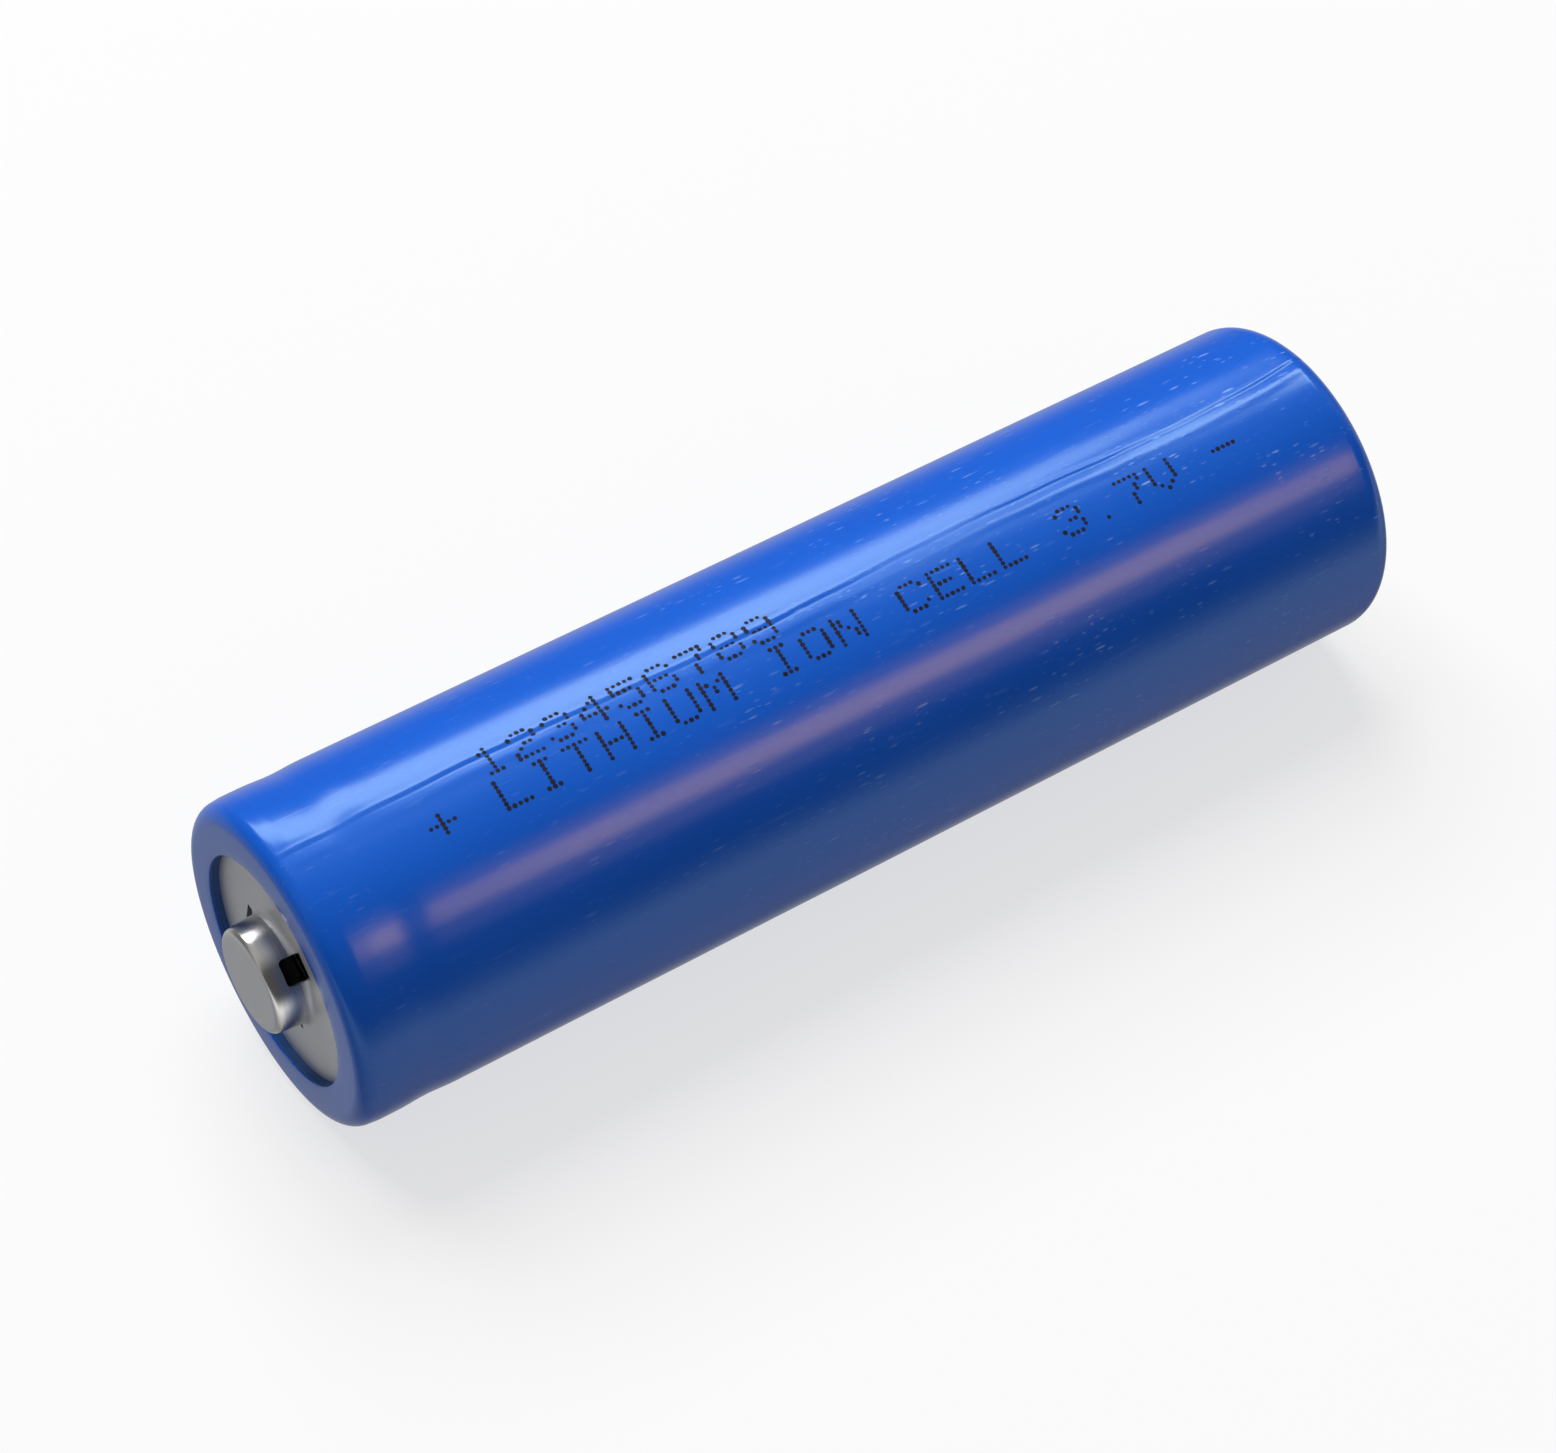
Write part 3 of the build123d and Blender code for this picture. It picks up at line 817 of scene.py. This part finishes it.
def film_shape(settings):
    """Moves a turned point of the film to its shrunk place."""
    crease = math.degrees(settings.crease_turn)

    def shape(x, r, turn):
        beside = (turn - crease + 180.0) % 360.0 - 180.0
        second = abs(beside) > 90.0
        if second:
            beside = (turn - crease) % 360.0 - 180.0
        angle = turn + crease_offset(x) * swell(beside, CREASE_SPREAD)
        along = (x - settings.waist) / settings.waist_half
        dip = math.cos(along * math.pi / 2) ** 2 if abs(along) < 1 else 0.0
        relief = film_relief(settings, x, beside, angle, second)
        r += fade(r, SIDE_FROM, SIDE_OVER) * (relief - settings.waist_depth * dip)
        # The cut edges of the film are not quite round.
        side = math.radians(angle)
        if x > settings.waist:
            weight = 1.0 - fade(r, settings.lip, LIP_OVER)
            r += weight * LIP_UNEVEN * edge_noise(side, 1.7, 4.0)
        else:
            weight = 1.0 - fade(r, settings.foot_lip, FOOT_OVER)
            r += weight * FOOT_UNEVEN * (edge_noise(side, 2.6, 9.0) - FOOT_SHRINK)
        return x, r, angle

    return shape


class CELL_OT_shrink_sleeve(bpy.types.Operator):
    """Make the shrink sleeve with its lay-flat creases and the dip over the bead"""

    bl_idname = "cell.shrink_sleeve"
    bl_label = "Shrink sleeve"

    def execute(self, context):
        settings = context.scene.cell_sleeve
        columns = crease_columns(math.degrees(settings.crease_turn))
        piece = lathe(
            "shrink_sleeve", film_outline(settings), columns, film_shape(settings)
        )
        paint(piece, shrink_film(settings))
        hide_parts("pvc_sleeve")
        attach(piece, "root")
        return {"FINISHED"}


# ------------------------------------------------------------------ ink print
DOT_FONT = {
    "A": ".###. #...# #...# ##### #...# #...# #...#",
    "B": "####. #...# #...# ####. #...# #...# ####.",
    "C": ".###. #...# #.... #.... #.... #...# .###.",
    "D": "####. #...# #...# #...# #...# #...# ####.",
    "E": "##### #.... #.... ####. #.... #.... #####",
    "F": "##### #.... #.... ####. #.... #.... #....",
    "G": ".###. #...# #.... #.### #...# #...# .###.",
    "H": "#...# #...# #...# ##### #...# #...# #...#",
    "I": ".###. ..#.. ..#.. ..#.. ..#.. ..#.. .###.",
    "J": "..### ...#. ...#. ...#. ...#. #..#. .##..",
    "K": "#...# #..#. #.#.. ##... #.#.. #..#. #...#",
    "L": "#.... #.... #.... #.... #.... #.... #####",
    "M": "#...# ##.## #.#.# #.#.# #...# #...# #...#",
    "N": "#...# ##..# ##..# #.#.# #..## #..## #...#",
    "O": ".###. #...# #...# #...# #...# #...# .###.",
    "P": "####. #...# #...# ####. #.... #.... #....",
    "Q": ".###. #...# #...# #...# #.#.# #..#. .##.#",
    "R": "####. #...# #...# ####. #.#.. #..#. #...#",
    "S": ".###. #...# #.... .###. ....# #...# .###.",
    "T": "##### ..#.. ..#.. ..#.. ..#.. ..#.. ..#..",
    "U": "#...# #...# #...# #...# #...# #...# .###.",
    "V": "#...# #...# #...# #...# #...# .#.#. ..#..",
    "W": "#...# #...# #...# #.#.# #.#.# ##.## #...#",
    "X": "#...# #...# .#.#. ..#.. .#.#. #...# #...#",
    "Y": "#...# #...# .#.#. ..#.. ..#.. ..#.. ..#..",
    "Z": "##### ....# ...#. ..#.. .#... #.... #####",
    "0": ".###. #...# #...# #...# #...# #...# .###.",
    "1": "..#.. .##.. ..#.. ..#.. ..#.. ..#.. .###.",
    "2": ".###. #...# ....# ..##. .#... #.... #####",
    "3": ".###. #...# ....# ..##. ....# #...# .###.",
    "4": "...#. ..##. .#.#. #..#. ##### ...#. ...#.",
    "5": "##### #.... ####. ....# ....# #...# .###.",
    "6": ".###. #...# #.... ####. #...# #...# .###.",
    "7": "##### ....# ...#. ...#. ..#.. ..#.. ..#..",
    "8": ".###. #...# #...# .###. #...# #...# .###.",
    "9": ".###. #...# #...# .#### ....# #...# .###.",
    ".": "..... ..... ..... ..... ..... ..... ..#..",
    "-": "..... ..... ..... ##### ..... ..... .....",
    "+": "..... ..#.. ..#.. ##### ..#.. ..#.. .....",
    " ": "..... ..... ..... ..... ..... ..... .....",
}
GLYPH_COLUMNS = 5
GLYPH_ROWS = 7
GLYPH_ADVANCE = 6
RAY_START, RAY_LENGTH = 1.06, 0.2  # of the sleeve's radius
DROP_SIDES = 10
DROP_TOP, DROP_FOOT = 0.92, 1.04  # of the dot's radius
DROP_DEPTH, DROP_SINK = 4, 3  # of the ink's thickness, so one part stands proud
DROP_SMALLEST, DROP_LARGEST = 0.86, 1.12


def line_of_dots(text, start, turn, settings):
    """Flat points of one line: X along the cell, Y the arc round it."""
    points = []
    for place, letter in enumerate(text.upper()):
        if letter not in DOT_FONT:
            raise ValueError(f"the dotted font has no letter {letter!r}")
        middle = start - place * GLYPH_ADVANCE * settings.column
        for row, cells in enumerate(DOT_FONT[letter].split()):
            for column, cell in enumerate(cells):
                if cell == "#":
                    along = middle - (column - GLYPH_COLUMNS // 2) * settings.column
                    across = turn * FILM_R + (GLYPH_ROWS // 2 - row) * settings.row
                    points.append((along, across, 0.0))
    return points


def dot_recipe():
    """Geometry Nodes tree that lays an ink dot on the sleeve for each flat point."""
    tree = bpy.data.node_groups.new("ink_dots_on_sleeve", "GeometryNodeTree")
    kinds = {
        "Points": "NodeSocketGeometry",
        "Sleeve": "NodeSocketObject",
        "Sleeve radius": "NodeSocketFloat",
        "Dot radius": "NodeSocketFloat",
        "Ink thickness": "NodeSocketFloat",
        "Seed": "NodeSocketInt",
        "Ink": "NodeSocketMaterial",
    }
    names = {}
    for name, kind in kinds.items():
        item = tree.interface.new_socket(name=name, in_out="INPUT", socket_type=kind)
        names[name] = item.identifier
    tree.interface.new_socket(
        name="Dots", in_out="OUTPUT", socket_type="NodeSocketGeometry"
    )
    graph = Graph(tree)
    given = graph.node("NodeGroupInput").outputs
    radius = Value(graph, given["Sleeve radius"])
    thickness = Value(graph, given["Ink thickness"])
    dot_radius = Value(graph, given["Dot radius"])

    # Each point is looked for on the sleeve from outside, straight toward the axis.
    along, arc, _ = graph.parts(graph.node("GeometryNodeInputPosition").outputs[0])
    cosine, sine = (arc / radius).fine("COSINE"), (arc / radius).fine("SINE")
    stand_off = radius * RAY_START
    sleeve = graph.node("GeometryNodeObjectInfo", {}, {"Object": given["Sleeve"]})
    landing = graph.node(
        "GeometryNodeRaycast",
        {},
        {
            "Target Geometry": sleeve.outputs["Geometry"],
            "Source Position": graph.vector(along, cosine * stand_off, sine * stand_off),
            "Ray Direction": graph.vector(0.0, cosine * -1, sine * -1),
            "Ray Length": radius * RAY_LENGTH,
        },
    )
    upright = graph.node(
        "FunctionNodeAlignRotationToVector",
        {"axis": "Z"},
        {"Vector": landing.outputs["Hit Normal"]},
    )
    # A dot is a low drop: a short cone frustum, sunk so that only its top stands proud.
    drop = graph.node(
        "GeometryNodeMeshCone",
        {"fill_type": "NGON"},
        {
            "Vertices": DROP_SIDES,
            "Radius Top": dot_radius * DROP_TOP,
            "Radius Bottom": dot_radius * DROP_FOOT,
            "Depth": thickness * DROP_DEPTH,
        },
    )
    sunk = graph.node(
        "GeometryNodeTransform",
        {},
        {
            "Geometry": drop.outputs["Mesh"],
            "Translation": graph.vector(0.0, 0.0, thickness * -DROP_SINK),
        },
    )
    lot = graph.node(
        "FunctionNodeRandomValue",
        {"data_type": "FLOAT"},
        {"Min": DROP_SMALLEST, "Max": DROP_LARGEST, "Seed": given["Seed"]},
    )
    size = next(
        socket for socket in lot.outputs if socket.enabled and socket.type == "VALUE"
    )
    placed = graph.node(
        "GeometryNodeInstanceOnPoints",
        {},
        {
            "Points": given["Points"],
            "Instance": sunk.outputs[0],
            "Rotation": upright.outputs[0],
            "Scale": graph.vector(size, size, 1.0),
        },
    )
    landed = graph.node(
        "GeometryNodeSetPosition",
        {},
        {"Geometry": placed.outputs[0], "Position": landing.outputs["Hit Position"]},
    )
    real = graph.node("GeometryNodeRealizeInstances", {}, {0: landed.outputs[0]})
    inked = graph.node(
        "GeometryNodeSetMaterial",
        {},
        {"Geometry": real.outputs[0], "Material": given["Ink"]},
    )
    graph.node("NodeGroupOutput", {}, {0: inked.outputs[0]})
    return tree, names


class CELL_OT_ink_print(bpy.types.Operator):
    """Print both lines of ink dots on the sleeve"""

    bl_idname = "cell.ink_print"
    bl_label = "Ink print"

    def execute(self, context):
        settings = context.scene.cell_print
        sleeve = bpy.data.objects.get("shrink_sleeve")
        if sleeve is None:
            raise RuntimeError("make the shrink sleeve first")
        points = line_of_dots(
            settings.lower, settings.start, settings.lower_turn, settings
        )
        points += line_of_dots(
            settings.upper, settings.upper_start, settings.upper_turn, settings
        )
        data = bpy.data.meshes.new("ink_print")
        data.from_pydata(points, [], [])
        carrier = bpy.data.objects.new("ink_points", data)
        context.scene.collection.objects.link(carrier)
        tree, names = dot_recipe()
        ink = dot_ink(settings.ink)
        modifier = carrier.modifiers.new("Dots", "NODES")
        modifier.node_group = tree
        modifier[names["Sleeve"]] = sleeve
        modifier[names["Sleeve radius"]] = FILM_R
        modifier[names["Dot radius"]] = settings.dot
        modifier[names["Ink thickness"]] = settings.lift
        modifier[names["Seed"]] = settings.seed
        modifier[names["Ink"]] = ink
        print_piece = settled(carrier, "ink_print")
        if not print_piece.data.polygons:
            raise RuntimeError("the ink dots missed the sleeve")
        paint(print_piece, ink)
        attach(print_piece, "root")
        return {"FINISHED"}


# ------------------------------------------------------------------ positive cap
CAP_COLUMNS = 216
CORNER_STEPS = 6  # to a quarter turn of a window's corner
SHARP_CAP_EDGE = math.radians(30)


def cap_outline(settings):
    """Closed outline of the stamping, from the axis out to the flange and back."""
    flange_in = CAP_LO.x
    flange_top = flange_in + settings.sheet
    ease = 0.06 * MM
    corners = [
        (BUTTON_TOP, 0.0),
        (BUTTON_TOP, settings.button_top_radius, settings.top_round),
        (flange_top, settings.button_radius, settings.foot_round),
        (flange_top, FLANGE_R, ease),
        (flange_in, FLANGE_R, ease),
        (flange_in, settings.button_radius - settings.sheet, 0.20 * MM),
        (
            BUTTON_TOP - settings.sheet,
            settings.button_top_radius - settings.sheet,
            0.10 * MM,
        ),
        (BUTTON_TOP - settings.sheet, 0.0),
    ]
    return divided(rounded_outline(corners, 0.06 * MM), lambda x: 0.22 * MM)


def window_cutters(settings):
    """Rounded bars that cut the gas openings at the foot of the button wall."""
    mesh = bmesh.new()
    flange_top = CAP_LO.x + settings.sheet
    x0 = CAP_LO.x - settings.sheet
    x1 = flange_top + settings.window_height
    half = settings.window_width / 2
    corner = settings.window_round
    outline = []
    for cx, cz, first in ((x1, half, 0), (x0, half, 90), (x0, -half, 180), (x1, -half, 270)):
        cx += corner if cx == x0 else -corner
        cz += corner if cz < 0 else -corner
        for k in range(CORNER_STEPS + 1):
            turn = math.radians(first + 90 * k / CORNER_STEPS)
            outline.append((cx + corner * math.cos(turn), cz + corner * math.sin(turn)))
    for k in range(settings.windows):
        turn = settings.window_turn + math.tau * k / settings.windows
        out = Vector((0.0, math.cos(turn), math.sin(turn)))
        side = Vector((0.0, -math.sin(turn), math.cos(turn)))
        ends = []
        for radius in (settings.window_in, settings.window_out):
            middle = out * radius
            ring = [Vector((x, 0, 0)) + middle + side * z for x, z in outline]
            ends.append([mesh.verts.new(place) for place in ring])
        near, far = ends
        mesh.faces.new(near)
        mesh.faces.new(far)
        for i in range(len(outline)):
            j = (i + 1) % len(outline)
            mesh.faces.new((near[i], near[j], far[j], far[i]))
    bmesh.ops.recalc_face_normals(mesh, faces=mesh.faces)
    return finished("window_cutters", mesh)


class CELL_OT_positive_cap(bpy.types.Operator):
    """Make the stamped cap with its button and vent windows"""

    bl_idname = "cell.positive_cap"
    bl_label = "Positive cap"

    def execute(self, context):
        settings = context.scene.cell_cap
        turns = [k * 360.0 / CAP_COLUMNS for k in range(CAP_COLUMNS)]
        blank = lathe("cap_blank", cap_outline(settings), turns)
        cutters = window_cutters(settings)
        cut = blank.modifiers.new("Windows", "BOOLEAN")
        cut.operation = "DIFFERENCE"
        cut.solver = "EXACT"
        cut.object = cutters
        context.view_layer.update()
        piece = settled(blank, "button_cap")
        bpy.data.objects.remove(cutters)
        piece.data.shade_smooth()
        piece.data.set_sharp_from_angle(angle=SHARP_CAP_EDGE)
        paint(piece, cap_plating(settings))
        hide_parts("positive_cap")
        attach(piece, "root")
        return {"FINISHED"}


# ------------------------------------------------------------------ can and insides
class CELL_OT_steel_can(bpy.types.Operator):
    """Plate the drawn steel can"""

    bl_idname = "cell.steel_can"
    bl_label = "Steel can"

    def execute(self, context):
        dressed("can", can_plating(context.scene.cell_can))
        return {"FINISHED"}


class CELL_OT_crimp_seal(bpy.types.Operator):
    """Finish the gasket and the insulating ring round the cap"""

    bl_idname = "cell.crimp_seal"
    bl_label = "Crimp seal"

    def execute(self, context):
        settings = context.scene.cell_inside
        dressed("sealing_gasket", moulded("gasket_blue", settings.gasket, 0.60, 0.06 * MM))
        dressed(
            "insulating_washer",
            moulded("washer_blue", settings.washer, 0.50, 0.09 * MM, 0.05, 1.5),
        )
        return {"FINISHED"}


class CELL_OT_safety_stack(bpy.types.Operator):
    """Finish the parts under the cap"""

    bl_idname = "cell.safety_stack"
    bl_label = "Safety stack"

    def execute(self, context):
        settings = context.scene.cell_inside
        sheet = plain_metal("aluminium_sheet", settings.aluminium, 0.34, 0.08 * MM)
        white = moulded("insulator_white", settings.insulator, 0.62, 0.08 * MM, 0.03, 0.8)
        for node in ("vent_disc", "cid_plate", "cathode_tab"):
            dressed(node, sheet)
        for node in ("cid_insulator", "top_insulator", "bottom_insulator"):
            dressed(node, white)
        dressed(
            "ptc_ring", moulded("ptc_compound", settings.compound, 0.55, 0.05 * MM, 0.08, 3.0)
        )
        return {"FINISHED"}


class CELL_OT_winding(bpy.types.Operator):
    """Finish the wound electrodes, their films, tapes, pin and tabs"""

    bl_idname = "cell.winding"
    bl_label = "Winding"

    def execute(self, context):
        settings = context.scene.cell_inside
        film = moulded("separator_film", settings.separator, 0.45, 0.04 * MM)
        tape = moulded("tape_amber", settings.tape, 0.28, 0.10 * MM, 0.02, 1.4)
        steel = plain_metal("inner_nickel", context.scene.cell_can.nickel, 0.30, 0.07 * MM)
        for node in ("separator_inner", "separator_outer"):
            dressed(node, film)
        for node in ("closing_tape", "tab_tape"):
            dressed(node, tape)
        for node in ("centre_pin", "anode_tab"):
            dressed(node, steel)
        dressed(
            "cathode_sheet",
            moulded("cathode_coating", settings.cathode, 0.70, 0.03 * MM, 0.10, 2.2),
        )
        dressed(
            "anode_sheet",
            moulded("anode_coating", settings.anode, 0.58, 0.03 * MM, 0.14, 3.0),
        )
        return {"FINISHED"}


# ------------------------------------------------------------------ stage
# Light panels along the cell: angle round its axis in degrees, distance from it,
# both ends along X and width in metres, and lean from the axis in radians.
PANELS = {
    "strip_light": (137, 0.45, -0.225, 0.16, 0.150, 0.36),
    "low_strip_light": (113, 0.45, -0.42, -0.195, 0.11, 0.0),
    "warm_card": (40, 0.50, -0.32, -0.085, 0.12, 0.0),
    "warm_halo": (38, 0.52, -0.33, -0.090, 0.34, 0.0),
    "key_light": (122, 1.2, -0.5, 0.5, 1.0, 0.0),
}
LOW_STRIP_GAIN = 1.35
HALO_SHARE = 0.18
FLOOR_HALF = 3.0
FLOOR_CELLS = 24
BACKDROP_LEVEL = 0.97


def soft_panel(name, level, tint):
    """Flat soft light of one of the panels."""
    angle, distance, x0, x1, width, skew = PANELS[name]
    data = bpy.data.lights.new(name, "AREA")
    data.shape = "RECTANGLE"
    data.size, data.size_y = x1 - x0, width
    data.color = tint
    data.energy = level * math.pi * data.size * width
    lamp = bpy.data.objects.new(name, data)
    along = Vector((1.0, 0.0, 0.0))
    out = Vector((0.0, math.cos(math.radians(angle)), math.sin(math.radians(angle))))
    lamp.location = out * distance + along * (x0 + x1) / 2
    along = along * math.cos(skew) + along.cross(out) * math.sin(skew)
    lamp.rotation_euler = Matrix((along, out.cross(along), out)).transposed().to_euler()
    lamp.visible_camera = bpy.context.scene.cell_stage.show_lights
    bpy.context.scene.collection.objects.link(lamp)
    return lamp


# What the gloss sees round the cell's axis: a dark room in front, the floor below.
ROOM_TONES = (
    (-180, 0.14),
    (-160, 0.42),
    (-125, 0.50),
    (-90, 0.22),
    (-60, 0.54),
    (-28, 1.00),
    (-10, 0.25),
    (0, 0.07),
    (58, 0.08),
    (90, 0.42),
    (118, 0.40),
    (145, 0.16),
    (180, 0.14),
)


def light_room(level):
    """Surroundings: even for soft light, toned for the gloss, white in the view."""
    world = bpy.data.worlds.new("studio")
    bpy.context.scene.world = world
    world.use_nodes = True
    graph = Graph(world.node_tree)
    graph.tree.nodes.clear()
    _, y, z = graph.parts(graph.node("ShaderNodeTexCoord").outputs["Generated"])
    round_axis = z.fine("ARCTAN2", y)
    stops = [((angle + 180) / 360, (tone,) * 3) for angle, tone in ROOM_TONES]
    tones = graph.node(
        "ShaderNodeValToRGB", {"stops": stops}, {"Fac": round_axis / math.tau + 0.5}
    )
    path = graph.node("ShaderNodeLightPath")
    gloss = graph.out(path, "Is Glossy Ray")
    seen = graph.out(path, "Is Camera Ray")
    strength = level * (1 - gloss) + graph.out(tones, "Color") * gloss
    strength = strength + seen * (BACKDROP_LEVEL - strength)
    sky = graph.node("ShaderNodeBackground", {}, {"Strength": strength})
    sky.inputs["Color"].default_value = (1.0, 1.0, 1.0, 1.0)
    graph.node("ShaderNodeOutputWorld", {}, {"Surface": sky.outputs[0]})


class CELL_OT_stage(bpy.types.Operator):
    """Set out the pale floor, the soft lights and the camera"""

    bl_idname = "cell.stage"
    bl_label = "Stage"

    def execute(self, context):
        settings = context.scene.cell_stage
        mesh = bmesh.new()
        bmesh.ops.create_grid(
            mesh, x_segments=FLOOR_CELLS, y_segments=FLOOR_CELLS, size=FLOOR_HALF
        )
        for vertex in mesh.verts:
            vertex.co.z += FILM_LO.z
        floor = finished("studio_floor", mesh)
        paint(floor, studio_floor(settings.floor, settings.floor_glow))
        # The room's tones stand for the floor in the gloss and in the soft light.
        floor.visible_glossy = False
        floor.visible_diffuse = False

        light_room(settings.room)
        white = (1.0, 1.0, 1.0)
        lights = {
            "strip_light": (settings.strip, white),
            "low_strip_light": (settings.strip * LOW_STRIP_GAIN, white),
            "warm_card": (settings.warm_level, settings.warm),
            "warm_halo": (settings.warm_level * HALO_SHARE, settings.warm),
            "key_light": (settings.key, white),
        }
        for name, (level, tint) in lights.items():
            lamp = soft_panel(name, level, tint)
            # The key lights the colour of each surface, the others only its gloss.
            lamp.visible_diffuse = name == "key_light"
            lamp.visible_glossy = name != "key_light"

        data = bpy.data.cameras.new("camera")
        data.lens = settings.lens
        data.sensor_width = 36.0
        data.sensor_fit = "HORIZONTAL"
        data.clip_start = 0.01
        data.clip_end = 20.0
        camera = bpy.data.objects.new("camera", data)
        flat = math.cos(settings.elevation)
        toward_x = math.cos(settings.azimuth) * flat
        toward_y = math.sin(settings.azimuth) * flat
        back = Vector((toward_x, toward_y, math.sin(settings.elevation)))
        camera.location = Vector(settings.aim) + back * settings.distance
        camera.rotation_euler = (-back).to_track_quat("-Z", "Y").to_euler()
        context.scene.collection.objects.link(camera)
        context.scene.camera = camera
        context.scene.view_settings.view_transform = "Standard"
        return {"FINISHED"}


# ------------------------------------------------------------------ add-on
SETTINGS = {
    "cell_sleeve": SleeveSettings,
    "cell_print": PrintSettings,
    "cell_cap": CapSettings,
    "cell_can": CanSettings,
    "cell_inside": InsideSettings,
    "cell_stage": StageSettings,
}
STEPS = (
    CELL_OT_shrink_sleeve,
    CELL_OT_ink_print,
    CELL_OT_positive_cap,
    CELL_OT_steel_can,
    CELL_OT_crimp_seal,
    CELL_OT_safety_stack,
    CELL_OT_winding,
    CELL_OT_stage,
)


class CELL_PT_parts(bpy.types.Panel):
    """Lists the cell's steps and settings in the 3D view's sidebar"""

    bl_idname = "CELL_PT_parts"
    bl_label = "Cylindrical cell"
    bl_space_type = "VIEW_3D"
    bl_region_type = "UI"
    bl_category = "Cell"

    def draw(self, context):
        for step in STEPS:
            self.layout.operator(step.bl_idname)
        for name, group in SETTINGS.items():
            box = self.layout.box()
            box.label(text=name.replace("cell_", "").title())
            for prop in group.__annotations__:
                box.prop(getattr(context.scene, name), prop)


def register():
    """Registers the settings, the operators and the panel."""
    for name, group in SETTINGS.items():
        bpy.utils.register_class(group)
        setattr(bpy.types.Scene, name, PointerProperty(type=group))
    for step in STEPS:
        bpy.utils.register_class(step)
    bpy.utils.register_class(CELL_PT_parts)


def unregister():
    """Takes them out again."""
    bpy.utils.unregister_class(CELL_PT_parts)
    for step in reversed(STEPS):
        bpy.utils.unregister_class(step)
    for name, group in reversed(SETTINGS.items()):
        delattr(bpy.types.Scene, name)
        bpy.utils.unregister_class(group)


def main():
    """Makes every piece."""
    register()
    bpy.ops.cell.shrink_sleeve()
    bpy.ops.cell.ink_print()
    bpy.ops.cell.positive_cap()
    bpy.ops.cell.steel_can()
    bpy.ops.cell.crimp_seal()
    bpy.ops.cell.safety_stack()
    bpy.ops.cell.winding()
    bpy.ops.cell.stage()


if __name__ == "__main__":
    main()
